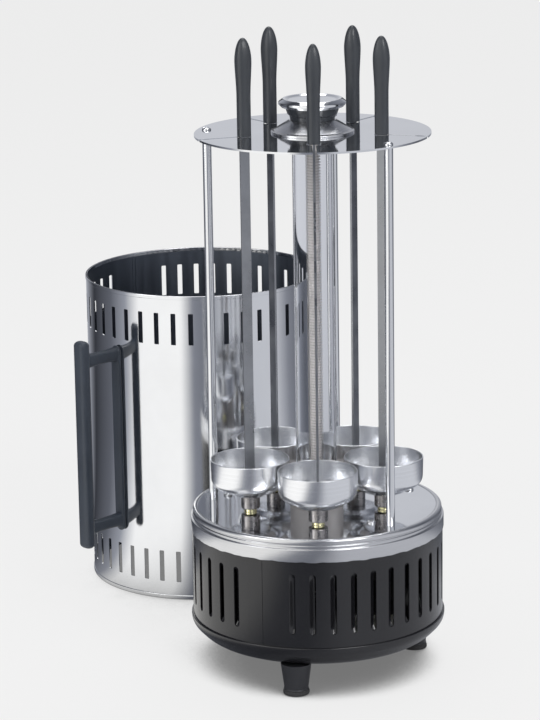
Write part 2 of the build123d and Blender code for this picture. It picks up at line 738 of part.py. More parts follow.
with BuildPart() as drive_gear:
    toothed_disc(DRIVE_TEETH, 0)
    turned(ring(0, DRIVE_BOSS_RADIUS, gear_top, deck_bottom - GEAR_RUNNING_GAP), stand())
    with BuildSketch(level(gear_bottom)):
        Circle(HUB_RADIUS + RUNNING_FIT)
        with PolarLocations(DRIVE_WINDOW_CIRCLE, DRIVE_WINDOWS):
            Circle(DRIVE_WINDOW_RADIUS)
    extrude(amount=deck_bottom - gear_bottom, mode=Mode.SUBTRACT)
drive_gear.part.label = "drive_gear"
export_step(drive_gear.part, "parts/drive_gear.step")

with BuildPart() as motor_pinion:
    towards_drive = MOTOR_AZIMUTH + 180
    toothed_disc(PINION_TEETH, towards_drive + 180 / PINION_TEETH, motor_circle, MOTOR_AZIMUTH)
    motor_shaft = ring(0, MOTOR_SHAFT_RADIUS, motor_bore_floor + FIT, gear_bottom)
    turned(motor_shaft, stand(motor_circle, MOTOR_AZIMUTH))
motor_pinion.part.label = "motor_pinion"
export_step(motor_pinion.part, "parts/motor_pinion.step")

for number, azimuth in enumerate(spindle_azimuths, start=1):
    with BuildPart() as spindle_gear:
        towards_drive = azimuth + 180
        toothed_disc(SPINDLE_TEETH, towards_drive + 180 / SPINDLE_TEETH, spindle_circle, azimuth)
        gear_boss = ring(0, GEAR_BOSS_RADIUS, gear_top, bush_bottom - GEAR_RUNNING_GAP)
        turned(gear_boss, stand(spindle_circle, azimuth))
        gear_bore = ring(0, SHAFT_RADIUS, gear_bottom, bush_bottom)
        turned(gear_bore, stand(spindle_circle, azimuth), mode=Mode.SUBTRACT)
    spindle_gear.part.label = f"spindle_gear_{number}"
    export_step(spindle_gear.part, f"parts/spindle_gear_{number}.step")

# ---------------------------------------------------------------- spindles, cups and skewers

socket_length = BLADE_WIDTH + 2 * LOOSE_FIT
socket_width = BLADE_SHEET + 2 * LOOSE_FIT
blade_shoulder = blade_tip + BLADE_POINT
blade_end = handle_bottom + BLADE_TANG

for number, azimuth in enumerate(spindle_azimuths, start=1):
    place = stand(spindle_circle, azimuth)

    with BuildPart() as spindle:
        spindle_outline = [
            (0, gear_plate_bottom - SHAFT_TAIL),
            (SHAFT_RADIUS, gear_plate_bottom - SHAFT_TAIL),
            (SHAFT_RADIUS, sleeve_bottom),
            (SLEEVE_RADIUS, sleeve_bottom),
            (SLEEVE_RADIUS, sleeve_top),
            (NECK_RADIUS, sleeve_top),
            (NECK_RADIUS, sleeve_top + NECK_HEIGHT),
            (0, sleeve_top + NECK_HEIGHT),
        ]
        turned(spindle_outline, place)
        socket_centre = place.origin + Vector(0, 0, sleeve_bottom + SOCKET_FLOOR)
        with BuildSketch(Plane(socket_centre, place.x_dir, (0, 0, 1))):
            Rectangle(socket_length, socket_width)
        extrude(amount=SLEEVE_HEIGHT, mode=Mode.SUBTRACT)
        with BuildSketch(Plane(place.origin + Vector(0, 0, sleeve_top), place.x_dir, (0, 0, 1))):
            Rectangle(2 * (NECK_RADIUS + CUT_OVERRUN), socket_width)
        extrude(amount=NECK_HEIGHT, mode=Mode.SUBTRACT)
    spindle.part.label = f"spindle_{number}"
    export_step(spindle.part, f"parts/spindle_{number}.step")

    with BuildPart() as drip_cup:
        with BuildSketch(place):
            with BuildLine():
                Polyline(
                    (CUP_HOLE_RADIUS, sleeve_top),
                    (CUP_BASE_RADIUS, sleeve_top),
                    (CUP_RADIUS, sleeve_top + CUP_WALL_RISE),
                    (CUP_RADIUS, sleeve_top + CUP_HEIGHT),
                )
                offset(amount=CUP_SHEET, side=Side.LEFT, kind=Kind.INTERSECTION)
            make_face()
        revolve(axis=Axis(place.origin, (0, 0, 1)))
    drip_cup.part.label = f"drip_cup_{number}"
    export_step(drip_cup.part, f"parts/drip_cup_{number}.step")

    with BuildPart() as skewer_blade:
        with BuildSketch(place):
            with BuildLine():
                Polyline(
                    (0, blade_tip),
                    (BLADE_WIDTH / 2, blade_shoulder),
                    (BLADE_WIDTH / 2, blade_end),
                    (-BLADE_WIDTH / 2, blade_end),
                    (-BLADE_WIDTH / 2, blade_shoulder),
                    close=True,
                )
            make_face()
        extrude(amount=BLADE_SHEET / 2, both=True)
    skewer_blade.part.label = f"skewer_blade_{number}"
    export_step(skewer_blade.part, f"parts/skewer_blade_{number}.step")

    with BuildPart() as skewer_handle:
        handle_foot = Plane(place.origin + Vector(0, 0, handle_bottom), place.x_dir, (0, 0, 1))
        for share, width in HANDLE_WIDTHS:
            with BuildSketch(handle_foot.offset(share * HANDLE_HEIGHT)):
                section = Rectangle(width, width * HANDLE_THICKNESS)
                chamfer(section.vertices(), length=width * HANDLE_BEVEL)
        loft(ruled=True)
        with BuildSketch(handle_foot):
            Rectangle(BLADE_WIDTH, BLADE_SHEET)
        extrude(amount=BLADE_TANG, mode=Mode.SUBTRACT)
    skewer_handle.part.label = f"skewer_handle_{number}"
    export_step(skewer_handle.part, f"parts/skewer_handle_{number}.step")

# ---------------------------------------------------------------- heater

with BuildPart() as heater_socket:
    socket_outline = [
        (0, gear_plate_top),
        (SOCKET_RADIUS, gear_plate_top),
        (SOCKET_RADIUS, deck_top),
        (CORE_RADIUS + FIT, deck_top),
        (CORE_RADIUS + FIT, deck_top - CORE_TAIL),
        (0, deck_top - CORE_TAIL),
    ]
    turned(socket_outline, stand())
heater_socket.part.label = "heater_socket"
export_step(heater_socket.part, "parts/heater_socket.step")

tube_foot = base_top - TUBE_SEAT_DEPTH

with BuildPart() as heater_base:
    heater_base_outline = [
        (CORE_RADIUS + FIT, deck_top),
        (HEATER_BASE_RADIUS, deck_top),
        (HEATER_BASE_RADIUS, base_top),
        (TUBE_RADIUS + FIT, base_top),
        (TUBE_RADIUS + FIT, tube_foot),
        (CORE_RADIUS + FIT, tube_foot),
    ]
    turned(heater_base_outline, stand())
heater_base.part.label = "heater_base"
export_step(heater_base.part, "parts/heater_base.step")

with BuildPart() as quartz_tube:
    turned(ring(TUBE_RADIUS - TUBE_WALL, TUBE_RADIUS, tube_foot, tube_top), stand())
quartz_tube.part.label = "quartz_tube"
export_step(quartz_tube.part, "parts/quartz_tube.step")

with BuildPart() as heating_core:
    turned(ring(0, CORE_RADIUS, deck_top - CORE_TAIL, tube_top), stand())
heating_core.part.label = "heating_core"
export_step(heating_core.part, "parts/heating_core.step")

knob_stud_tip = plate_bottom - KNOB_STUD_REACH

with BuildPart() as heater_top_cap:
    cap_outline = [
        (0, tube_top),
        (TUBE_RADIUS + FIT, tube_top),
        (TUBE_RADIUS + FIT, cap_bottom),
        (CAP_RADIUS, cap_bottom),
        (CAP_RADIUS, plate_bottom),
        (KNOB_STUD_RADIUS + FIT, plate_bottom),
        (KNOB_STUD_RADIUS + FIT, knob_stud_tip),
        (0, knob_stud_tip),
    ]
    turned(cap_outline, stand())
heater_top_cap.part.label = "heater_top_cap"
export_step(heater_top_cap.part, "parts/heater_top_cap.step")

# ---------------------------------------------------------------- rods, top plate and knob

rod_stud_tip = deck_bottom - NUT_HEIGHT
rod_screw_tip = plate_top - PAN_SCREW_LENGTH - FIT

for side, azimuth in ROD_AZIMUTHS.items():
    with BuildPart() as support_rod:
        rod_outline = [
            (0, rod_stud_tip),
            (STUD_RADIUS, rod_stud_tip),
            (STUD_RADIUS, deck_top),
            (ROD_RADIUS, deck_top),
            (ROD_RADIUS, plate_bottom),
            (PAN_SHANK_RADIUS + FIT, plate_bottom),
            (PAN_SHANK_RADIUS + FIT, rod_screw_tip),
            (0, rod_screw_tip),
        ]
        turned(rod_outline, stand(rod_circle, azimuth))
    support_rod.part.label = f"support_rod_{side}"
    export_step(support_rod.part, f"parts/support_rod_{side}.step")

slot_reach = plate_radius - spindle_circle + CUT_OVERRUN

with BuildPart() as top_plate:
    with BuildSketch(level(plate_bottom)):
        Circle(plate_radius)
        Circle(KNOB_STUD_RADIUS + FIT, mode=Mode.SUBTRACT)
        with Locations(*rod_spots):
            Circle(PAN_SHANK_RADIUS + FIT, mode=Mode.SUBTRACT)
        with PolarLocations(spindle_circle, SPINDLE_COUNT):
            Circle(PLATE_HOLE_RADIUS, mode=Mode.SUBTRACT)
            Rectangle(
                slot_reach,
                PLATE_SLOT_WIDTH,
                align=(Align.MIN, Align.CENTER),
                mode=Mode.SUBTRACT,
            )
    extrude(amount=PLATE_SHEET)
top_plate.part.label = "top_plate"
export_step(top_plate.part, "parts/top_plate.step")

with BuildPart() as pan_head_screws:
    for height, places in ((deck_top, pillar_places), (plate_top, rod_places)):
        pan_screw = screw_outline(
            height, PAN_HEAD_RADIUS, PAN_HEAD_HEIGHT, PAN_SHANK_RADIUS, PAN_SCREW_LENGTH, 1
        )
        for place in places:
            turned(pan_screw, stand(*place))
pan_head_screws.part.label = "pan_head_screws"
export_step(pan_head_screws.part, "parts/pan_head_screws.step")

with BuildPart() as knob_flange:
    flange_outline = [
        (KNOB_STUD_RADIUS + FIT, plate_top),
        (FLANGE_RADIUS, plate_top),
        (FLANGE_RADIUS, plate_top + FLANGE_EDGE),
        (FLANGE_TOP_RADIUS, neck_bottom),
        (KNOB_STUD_RADIUS + FIT, neck_bottom),
    ]
    turned(flange_outline, stand())
knob_flange.part.label = "knob_flange"
export_step(knob_flange.part, "parts/knob_flange.step")

with BuildPart() as knob_neck:
    neck_outline = [
        (0, knob_stud_tip + FIT),
        (KNOB_STUD_RADIUS, knob_stud_tip + FIT),
        (KNOB_STUD_RADIUS, neck_bottom),
        (NECK_FOOT_RADIUS, neck_bottom),
        (NECK_TOP_RADIUS, knob_bottom),
        (0, knob_bottom),
    ]
    turned(neck_outline, stand())
knob_neck.part.label = "knob_neck"
export_step(knob_neck.part, "parts/knob_neck.step")

knob_top = knob_bottom + KNOB_HEIGHT

with BuildPart() as knob_cap:
    knob_outline = [
        (0, knob_bottom),
        (KNOB_RADIUS, knob_bottom),
        (KNOB_RADIUS, knob_top - KNOB_EDGE),
        (KNOB_RADIUS - KNOB_EDGE, knob_top),
        (KNOB_DISH_RADIUS, knob_top),
        (KNOB_DISH_RADIUS, knob_top - KNOB_DISH_DEPTH),
        (0, knob_top - KNOB_DISH_DEPTH),
    ]
    turned(knob_outline, stand())
knob_cap.part.label = "knob_cap"
export_step(knob_cap.part, "parts/knob_cap.step")

# ---------------------------------------------------------------- casing and its handle

slot_middle = CASING_SLOT_MARGIN + CASING_SLOT_LENGTH / 2
arm_middle = STRIP_FOOT + ARM_INSET + ARM_HEIGHT / 2
arm_heights = (arm_middle, arm_middle + ARM_SPAN)
strip_face = stand(casing_radius, HANDLE_AZIMUTH, CASING)
grip_face = stand(grip_circle, HANDLE_AZIMUTH, CASING)


def on_strip(height):
    """Plane on the casing's wall behind the handle: local x across, local y up, z outward."""
    centre = strip_face.origin + Vector(0, 0, height)
    return Plane(origin=centre, x_dir=strip_face.z_dir, z_dir=strip_face.x_dir)


with BuildPart() as casing_shell:
    with BuildSketch(CASING):
        Circle(casing_radius)
    extrude(amount=CASING_HEIGHT)
    for hem_foot in (0, CASING_HEIGHT - CASING_HEM_HEIGHT):
        with BuildSketch(CASING.offset(hem_foot)):
            Circle(hem_radius)
        extrude(amount=CASING_HEM_HEIGHT)
    with BuildSketch(CASING):
        Circle(casing_inner)
    extrude(amount=CASING_HEIGHT, mode=Mode.SUBTRACT)
    for height in (slot_middle, CASING_HEIGHT - slot_middle):
        casing_slots = slot_planes(
            CASING,
            casing_radius + CUT_OVERRUN,
            height,
            CASING_SLOT_PLACES,
            CASING_EMPTY_PLACES,
            CASING_SEAM_AZIMUTH,
        )
        with BuildSketch(*casing_slots):
            Rectangle(CASING_SLOT_WIDTH, CASING_SLOT_LENGTH)
        extrude(amount=-(CASING_WALL + 2 * CUT_OVERRUN), mode=Mode.SUBTRACT)
    for height in arm_heights:
        with BuildSketch(on_strip(height)):
            Circle(SMALL_SHANK_RADIUS + FIT)
        extrude(amount=-2 * CASING_WALL, mode=Mode.SUBTRACT)
casing_shell.part.label = "casing_shell"
export_step(casing_shell.part, "parts/casing_shell.step")

with BuildPart() as casing_handle_mount:
    with BuildSketch(on_strip(STRIP_FOOT + strip_length / 2)):
        SlotOverall(strip_length, STRIP_WIDTH, rotation=90)
    extrude(amount=STRIP_DEPTH)
    for height in arm_heights:
        with BuildSketch(on_strip(height)):
            Rectangle(ARM_WIDTH, ARM_HEIGHT)
        extrude(amount=GRIP_REACH - GRIP_DEPTH / 2)
        with BuildSketch(on_strip(height)):
            Circle(SMALL_SHANK_RADIUS + FIT)
        extrude(amount=STRIP_SCREW_DEPTH + FIT, mode=Mode.SUBTRACT)
casing_handle_mount.part.label = "casing_handle_mount"
export_step(casing_handle_mount.part, "parts/casing_handle_mount.step")

with BuildPart() as casing_handle_grip:
    grip_foot = Plane(grip_face.origin + Vector(0, 0, grip_bottom), grip_face.x_dir, (0, 0, 1))
    with BuildSketch(grip_foot):
        RectangleRounded(GRIP_DEPTH, GRIP_WIDTH, GRIP_ROUND)
    extrude(amount=grip_length)
    ends = casing_handle_grip.faces().filter_by(Axis.Z)
    chamfer(ends.edges(), length=GRIP_BEVEL)
casing_handle_grip.part.label = "casing_handle_grip"
export_step(casing_handle_grip.part, "parts/casing_handle_grip.step")

with BuildPart() as casing_screws:
    for height in arm_heights:
        head_seat = on_strip(height).offset(-CASING_WALL - FIT)
        with BuildSketch(head_seat):
            Circle(SMALL_HEAD_RADIUS)
        extrude(amount=-SMALL_HEAD_HEIGHT)
        with BuildSketch(head_seat):
            Circle(SMALL_SHANK_RADIUS)
        extrude(amount=CASING_WALL + FIT + STRIP_SCREW_DEPTH)
casing_screws.part.label = "casing_screws"
export_step(casing_screws.part, "parts/casing_screws.step")
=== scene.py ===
import math

import bmesh
import bpy
from mathutils import Matrix, Vector


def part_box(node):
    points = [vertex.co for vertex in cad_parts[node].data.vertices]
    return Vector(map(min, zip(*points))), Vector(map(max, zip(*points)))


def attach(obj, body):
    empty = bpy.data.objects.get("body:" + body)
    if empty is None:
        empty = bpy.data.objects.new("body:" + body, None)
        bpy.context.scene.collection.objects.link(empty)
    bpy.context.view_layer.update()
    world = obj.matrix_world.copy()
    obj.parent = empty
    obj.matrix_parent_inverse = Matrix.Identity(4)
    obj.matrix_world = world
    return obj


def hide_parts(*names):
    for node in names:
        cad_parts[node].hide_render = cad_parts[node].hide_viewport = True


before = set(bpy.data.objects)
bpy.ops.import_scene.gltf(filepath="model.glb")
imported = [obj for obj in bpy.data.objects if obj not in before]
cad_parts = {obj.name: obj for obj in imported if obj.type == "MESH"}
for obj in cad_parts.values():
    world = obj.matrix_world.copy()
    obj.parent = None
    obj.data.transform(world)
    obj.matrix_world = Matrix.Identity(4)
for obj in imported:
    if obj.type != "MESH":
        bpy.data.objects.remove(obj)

bl_info = {
    "name": "Electric skewer grill",
    "version": (1, 0, 0),
    "blender": (4, 5, 0),
    "location": "View3D > Sidebar > Grill",
    "description": "Dresses the packed skewer grill with its finished pieces, one operator for each group",
    "category": "Add Mesh",
}

# ---------------------------------------------------------------- places taken from the solids

SPINDLES = range(1, 6)
SPINDLE_PITCH = 72  # degrees from one spindle to the next
FULL_TURN = 2 * math.pi
TURNED_STEPS = 128  # around a turned piece
ARC_STEPS = 5  # in a rounded corner
SHARP_ANGLE = math.radians(32)
ON_AXIS = 1e-6  # a smaller radius is a point on the axis
ORIGIN = Vector((0, 0, 0))
UP = Vector((0, 0, 1))


def ends(node):
    """Heights of a solid's lowest and highest points."""
    return [corner.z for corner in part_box(node)]


def foot(node):
    return ends(node)[0]


def head(node):
    return ends(node)[1]


def middle(node):
    """The upright axis through the middle of a solid, as a point on the floor."""
    low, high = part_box(node)
    return Vector(((low.x + high.x) / 2, (low.y + high.y) / 2, 0))


def reach(node):
    """Radius of a round solid."""
    low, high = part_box(node)
    return (high.x - low.x) / 2


GRILL = middle("rim_ring")
CASING = middle("casing_shell")
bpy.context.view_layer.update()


def on_circle(axis, radius, turn, height):
    """Coordinates at a radius and a turn in radians about an upright axis."""
    return axis.x + radius * math.sin(turn), axis.y - radius * math.cos(turn), height


def place(axis, radius, azimuth, height=0.0):
    """A point at a radius and an azimuth: zero faces the front, positive turns to the right."""
    return Vector(on_circle(axis, radius, math.radians(azimuth), height))


def facing(azimuth):
    """The level directions at an azimuth: to the right as seen from outside, and outwards."""
    turn = math.radians(azimuth)
    return Vector((math.cos(turn), math.sin(turn), 0)), Vector((math.sin(turn), -math.cos(turn), 0))


# ---------------------------------------------------------------- sizes and colours to change


def size(name, description, default):
    return bpy.props.FloatProperty(
        name=name, description=description, default=default, min=0.0, precision=5, subtype="DISTANCE",
        unit="LENGTH",
    )


def colour(name, description, default):
    return bpy.props.FloatVectorProperty(
        name=name, description=description, default=default, size=3, min=0.0, max=1.0, subtype="COLOR"
    )


class GrillSizes(bpy.types.PropertyGroup):
    """Sizes of the details that the finished pieces add to the solids"""

    sheet: size("Shell sheet", "Thickness of the black body shell", 0.0012)
    slot_width: size("Body slot width", "Width of a slot in the body shell", 0.005)
    slot_length: size("Body slot length", "Length of a slot in the body shell", 0.0483)
    slot_rise: size("Body slot rise", "From the shell's lower edge up to its slots", 0.0107)
    louvre_depth: size("Louvre depth", "How far the pressed tongue leans inwards", 0.0026)
    casing_sheet: size("Casing sheet", "Thickness of the casing's steel", 0.0008)
    casing_slot_width: size("Casing slot width", "Width of a slot in the casing", 0.0042)
    casing_slot_length: size("Casing slot length", "Length of a slot in the casing", 0.027)
    casing_slot_margin: size("Casing slot margin", "From the casing's end to its slots", 0.015)
    casing_slot_corner: size("Casing slot corner", "Rounding of the slots' corners", 0.0007)
    hem: size("Casing hem", "How far the folded hem stands proud", 0.0005)
    hem_height: size("Hem height", "Height of the folded hem", 0.003)
    bead_groove: size("Bead groove", "Depth of the grooves rolled into the rim's bead", 0.0006)
    crimp: size("Crimp", "Waviness of the rim band's lower edge", 0.00022)
    cup_sheet: size("Cup sheet", "Thickness of a drip cup", 0.0009)
    cup_corner: size("Cup corner", "Outer rounding between a cup's wall and its bottom", 0.0085)
    coil_wire: size("Coil wire", "Radius of the heating wire", 0.00032)
    recess: size("Cross recess", "Depth of the cross recess in a screw's head", 0.0011)


class GrillColours(bpy.types.PropertyGroup):
    """Base colours of the finishes, as linear values"""

    enamel: colour("Enamel", "Black enamel of the body", (0.009, 0.009, 0.011))
    moulding: colour("Moulding", "Black moulded feet", (0.03, 0.031, 0.036))
    slate: colour("Slate", "Dark moulded casing handle", (0.036, 0.046, 0.064))
    grey: colour("Dark grey", "Dark moulded skewer handles and knob neck", (0.043, 0.048, 0.056))
    mirror: colour("Mirror steel", "Polished steel of casing, deck, plate and rods", (0.8, 0.81, 0.83))
    satin: colour("Satin steel", "Satin steel of rim and knob flange", (0.66, 0.665, 0.68))
    sleeve: colour("Sleeve steel", "Dull steel of the sleeves", (0.33, 0.315, 0.31))
    blade: colour("Blade steel", "Ground steel of the skewers", (0.35, 0.36, 0.38))
    # Painted shade: the inside's steel gets a far darker, bluer colour than its sheet has, standing in for
    # the shade and dark reflections inside the casing.
    inner: colour("Unpolished steel", "Inside of the casing", (0.2, 0.225, 0.27))
    screw: colour("Screw steel", "Cross-head screws", (0.7, 0.71, 0.73))
    brass: colour("Brass", "Bushes on the deck, and the motor's pinion", (0.9, 0.84, 0.5))
    aluminium: colour("Aluminium", "Stamped drip cups", (0.87, 0.88, 0.9))
    zinc: colour("Zinc", "Plated fasteners and inner plates", (0.55, 0.55, 0.52))
    nylon: colour("Nylon", "Gears", (0.78, 0.75, 0.66))
    resin: colour("Resin", "Terminal block", (0.7, 0.7, 0.66))
    ceramic: colour("Ceramic", "Heater base, socket and cap", (0.72, 0.69, 0.68))
    quartz: colour("Quartz", "Heater tube", (0.985, 0.99, 1.0))
    rubber: colour("Rubber", "Foot pads and grommet", (0.035, 0.035, 0.037))
    wire: colour("Wire", "Oxidised heating wire", (0.6, 0.58, 0.56))
    floor: colour("Floor", "Floor and background", (0.855, 0.855, 0.855))


def sizes():
    return bpy.context.scene.grill_sizes


def colours():
    return bpy.context.scene.grill_colours


# ---------------------------------------------------------------- node trees

NOISE_LOW, NOISE_HIGH = 0.35, 0.65  # most values of a noise texture lie between these


def wire(tree, nodes, links=""):
    """Adds named nodes to a tree, then links them.

    A node is its kind, or its kind with its settings (lower case) and the values of its inputs.
    A link is "node.output > node.input", each socket by its name or its number.
    """
    for name, given in nodes.items():
        kind, values = (given, {}) if isinstance(given, str) else given
        node = tree.nodes.new(kind)
        node.name = name
        for key, value in values.items():
            if str(key).islower():
                setattr(node, key, value)
            else:
                node.inputs[key].default_value = value
    for link in filter(None, links.split("; ")):
        (source, output), (target, into) = (end.split(".") for end in link.split(" > "))
        tree.links.new(
            tree.nodes[source].outputs[int(output) if output.isdigit() else output],
            tree.nodes[target].inputs[int(into) if into.isdigit() else into],
        )


def ranged(low, high, start=NOISE_LOW, end=NOISE_HIGH):
    """A node that turns values from start to end into values from low to high."""
    values = {"From Min": start, "From Max": end, "To Min": low, "To Max": high}
    return "ShaderNodeMapRange", values


def add_object(name, data):
    made = bpy.data.objects.new(name, data)
    bpy.context.scene.collection.objects.link(made)
    return made


def grown(name, mesh, nodes, links, inputs):
    """A piece grown by a node tree with named inputs (kind, value), kept as a plain mesh."""
    holder = add_object(name, mesh)
    tree = bpy.data.node_groups.new(name + "_tree", "GeometryNodeTree")
    modifier = holder.modifiers.new("grown", "NODES")
    sockets = tree.interface
    for way in ("INPUT", "OUTPUT"):
        sockets.new_socket("Geometry", in_out=way, socket_type="NodeSocketGeometry")
    named = {
        key: sockets.new_socket(key, in_out="INPUT", socket_type="NodeSocket" + kind)
        for key, (kind, _) in inputs.items()
    }
    wire(tree, {
        "given": "NodeGroupInput",
        "result": "NodeGroupOutput",
        "realize": "GeometryNodeRealizeInstances",
        "finish": "GeometryNodeSetMaterial",
        **nodes,
    }, links + "; realize.Geometry > finish.Geometry; given.Finish > finish.Material; "
        "finish.Geometry > result.Geometry")
    modifier.node_group = tree
    for key, (_, value) in inputs.items():
        modifier[named[key].identifier] = value
    bpy.context.view_layer.update()
    graph = bpy.context.evaluated_depsgraph_get()
    plain = bpy.data.meshes.new_from_object(holder.evaluated_get(graph))
    plain.name = name + "_mesh"
    holder.modifiers.clear()
    holder.data = plain
    return holder


# ---------------------------------------------------------------- materials


def noise(scale, detail=2, rough=0.5, stretch=(1, 1, 1), centre=None):
    """A noise texture; with a centre it changes only with the distance from there and with height."""
    return scale, detail, rough, stretch, centre


def add_noise(tree, name, scale, detail, rough, stretch, centre):
    vector = name + "_map.Vector"
    wire(tree, {
        name: ("ShaderNodeTexNoise", {"Scale": scale, "Detail": detail, "Roughness": rough}),
        name + "_map": ("ShaderNodeMapping", {"Location": -(centre or ORIGIN), "Scale": stretch}),
    }, f"spot.Object > {vector}")
    if centre:
        wire(tree, {
            "parts": "ShaderNodeSeparateXYZ",
            "flat": "ShaderNodeCombineXYZ",
            "away": ("ShaderNodeVectorMath", {"operation": "LENGTH"}),
            "ring": "ShaderNodeCombineXYZ",
        }, vector + " > parts.0; parts.X > flat.X; parts.Y > flat.Y; flat.0 > away.0; "
            "away.Value > ring.X; parts.Z > ring.Z")
        vector = "ring.0"
    wire(tree, {}, f"{vector} > {name}.Vector")


def finish(name, tone, metallic, textures, rough, tint, bumps, inputs=None):
    """A new material in one of the grill's colours.

    Textures are used by their number: rough and tint are (number, low, high), and each bump is
    (number, strength, distance), the later on the earlier.
    """
    material = bpy.data.materials.new(name)
    material.use_nodes = True
    tree = material.node_tree
    base = getattr(colours(), tone)
    values = {"Base Color": (*base, 1), "Metallic": metallic, **(inputs or {})}
    for key, value in values.items():
        tree.nodes["Principled BSDF"].inputs[key].default_value = value
    wire(tree, {"spot": "ShaderNodeTexCoord"})
    for number, texture in enumerate(textures):
        add_noise(tree, f"noise_{number}", *texture)
    number, low, high = rough
    wire(
        tree, {"rough": ranged(low, high)},
        f"noise_{number}.Fac > rough.Value; rough.Result > Principled BSDF.Roughness",
    )
    if tint:
        number, low, high = tint
        wire(tree, {
            "share": ranged(0, 1),
            "tint": ("ShaderNodeMix", {
                "data_type": "RGBA",
                "A": (*[part * low for part in base], 1),
                "B": (*[min(1.0, part * high) for part in base], 1),
            }),
        }, f"noise_{number}.Fac > share.Value; share.Result > tint.Factor; "
            "tint.Result > Principled BSDF.Base Color")
    normal = None
    for layer, (number, strength, distance) in enumerate(bumps):
        bump = f"bump_{layer}"
        wire(
            tree, {bump: ("ShaderNodeBump", {"Strength": strength, "Distance": distance})},
            f"noise_{number}.Fac > {bump}.Height" + (f"; {normal} > {bump}.Normal" if normal else ""),
        )
        normal = bump + ".Normal"
    wire(tree, {}, f"{normal} > Principled BSDF.Normal")
    return material


FINISHES = {
    # bright bar steel with drawing lines along its length
    "drawn_steel": (
        "mirror", 1, [noise(4, 3, stretch=(900, 900, 6))], (0, 0.1, 0.22), None, [(0, 0.08, 0.0002)],
    ),
    # flat skewer steel, ground across, darker than the bright bars
    "blade_steel": (
        "blade", 1, [noise(2, 3, stretch=(30, 30, 1500)), noise(40, 4, 0.6)],
        (1, 0.24, 0.4), (1, 0.8, 1.06), [(0, 0.1, 0.0002)],
    ),
    # inside of the casing: rolled sheet with upright rolling marks, its colour set dark and bluish as
    # painted shade and painted reflection of the dark inside
    "unpolished_steel": (
        "inner", 1, [noise(3, 3, stretch=(60, 60, 2))],
        (0, 0.36, 0.44), (0, 0.95, 1.05), [(0, 0.02, 0.0003)],
    ),
    # baked black enamel on sheet, with a fine orange peel under a clear gloss
    "black_enamel": (
        "enamel", 0, [noise(900), noise(12, 3, 0.6)],
        (1, 0.19, 0.25), (1, 0.88, 1.1), [(0, 0.06, 0.0002)],
        {"Coat Weight": 0.25, "Coat Roughness": 0.12},
    ),
    # dull rubber with a dusty bloom
    "foot_rubber": (
        "rubber", 0, [noise(160, 4, 0.65)], (0, 0.7, 0.92), (0, 0.8, 1.35), [(0, 0.2, 0.0003)],
    ),
    # brass, turned, with fine rings and a few darker spots
    "turned_brass": (
        "brass", 1, [noise(1, stretch=(60, 60, 5000)), noise(500, 3, 0.6)],
        (1, 0.14, 0.24), (1, 0.92, 1.05), [(0, 0.06, 0.0002)],
    ),
    # plated steel of fasteners and inner plates, slightly cloudy
    "zinc_plate": (
        "zinc", 1, [noise(90, 5, 0.6)], (0, 0.26, 0.46), (0, 0.86, 1.1), [(0, 0.06, 0.0003)],
    ),
    # bright plated screw heads with a stamped grain
    "screw_steel": (
        "screw", 1, [noise(1500)], (0, 0.12, 0.28), (0, 0.9, 1.04), [(0, 0.08, 0.0001)],
    ),
    # unglazed steatite with a fine pitted grain
    "fired_ceramic": (
        "ceramic", 0, [noise(700, 4, 0.7), noise(60, 3)],
        (1, 0.52, 0.72), (1, 0.95, 1.04), [(0, 0.14, 0.0003)],
    ),
    # clear fused tube with faint drawing lines along it
    "clear_quartz": (
        "quartz", 0, [noise(3, 3, stretch=(700, 700, 3))], (0, 0.01, 0.05), None,
        [(0, 0.06, 0.0002)], {"Transmission Weight": 1.0, "IOR": 1.07},
    ),
    # oxidised resistance wire
    "heating_wire": (
        "wire", 0.8, [noise(1200, 3)], (0, 0.42, 0.7), (0, 0.8, 1.15), [(0, 0.2, 0.0001)],
    ),
}


def plain_finish(name):
    return finish(name, *FINISHES[name])


def mirror_steel(name, low=0.05, high=0.11, wave=0.05, stretch=(40, 40, 40)):
    """Polished sheet: faint polishing lines, a slow waviness and a few dull patches."""
    textures = [noise(60, 3, stretch=stretch), noise(14, 4, 0.6), noise(9, 1)]
    bumps = [(2, wave, 0.004), (0, 0.03, 0.0002)]
    return finish(name, "mirror", 1, textures, (1, low, high), (1, 0.96, 1.02), bumps)


def satin_steel(name, low, high):
    """Turned or rolled steel with fine lines that run around the grill's axis."""
    textures = [noise(2600, 3, centre=GRILL), noise(30, 4, 0.6)]
    return finish(name, "satin", 1, textures, (1, low, high), (0, 0.9, 1.05), [(0, 0.12, 0.0003)])


def sleeve_steel(axis):
    """Dull turned steel of the sleeves, browned here and there by heat."""
    textures = [noise(3000, 3, centre=axis), noise(260, 4, 0.7)]
    bumps = [(0, 0.1, 0.0003), (1, 0.04, 0.0002)]
    return finish("sleeve_steel", "sleeve", 1, textures, (1, 0.24, 0.34), (1, 0.9, 1.1), bumps)


def stamped_aluminium(axis):
    """Stamped cup: satin, with press rings around its own axis and a faint mottle."""
    textures = [noise(1900, 3, centre=axis), noise(700)]
    bumps = [(1, 0.04, 0.0001), (0, 0.03, 0.0002)]
    return finish("cup_aluminium", "aluminium", 1, textures, (1, 0.23, 0.26), (0, 0.96, 1.02), bumps)


def moulded(name, tone, low, high, grain=1400):
    """Moulded plastic with a fine spark-eroded grain."""
    textures = [noise(grain), noise(35, 3)]
    return finish(name, tone, 0, textures, (1, low, high), (1, 0.92, 1.08), [(0, 0.16, 0.0002)])


def dress(material, *nodes):
    """Gives carried-over solids their finish."""
    for node in nodes:
        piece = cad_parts[node]
        if not piece.material_slots:
            piece.data.materials.append(material)
        for slot in piece.material_slots:
            slot.material = material


# ---------------------------------------------------------------- mesh helpers


def settle(piece, body, slot, *nodes):
    """Puts a finished piece on its body and hides the solids it stands for; the slot it is given is not
    used.
    """
    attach(piece, body)
    if nodes:
        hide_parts(*nodes)


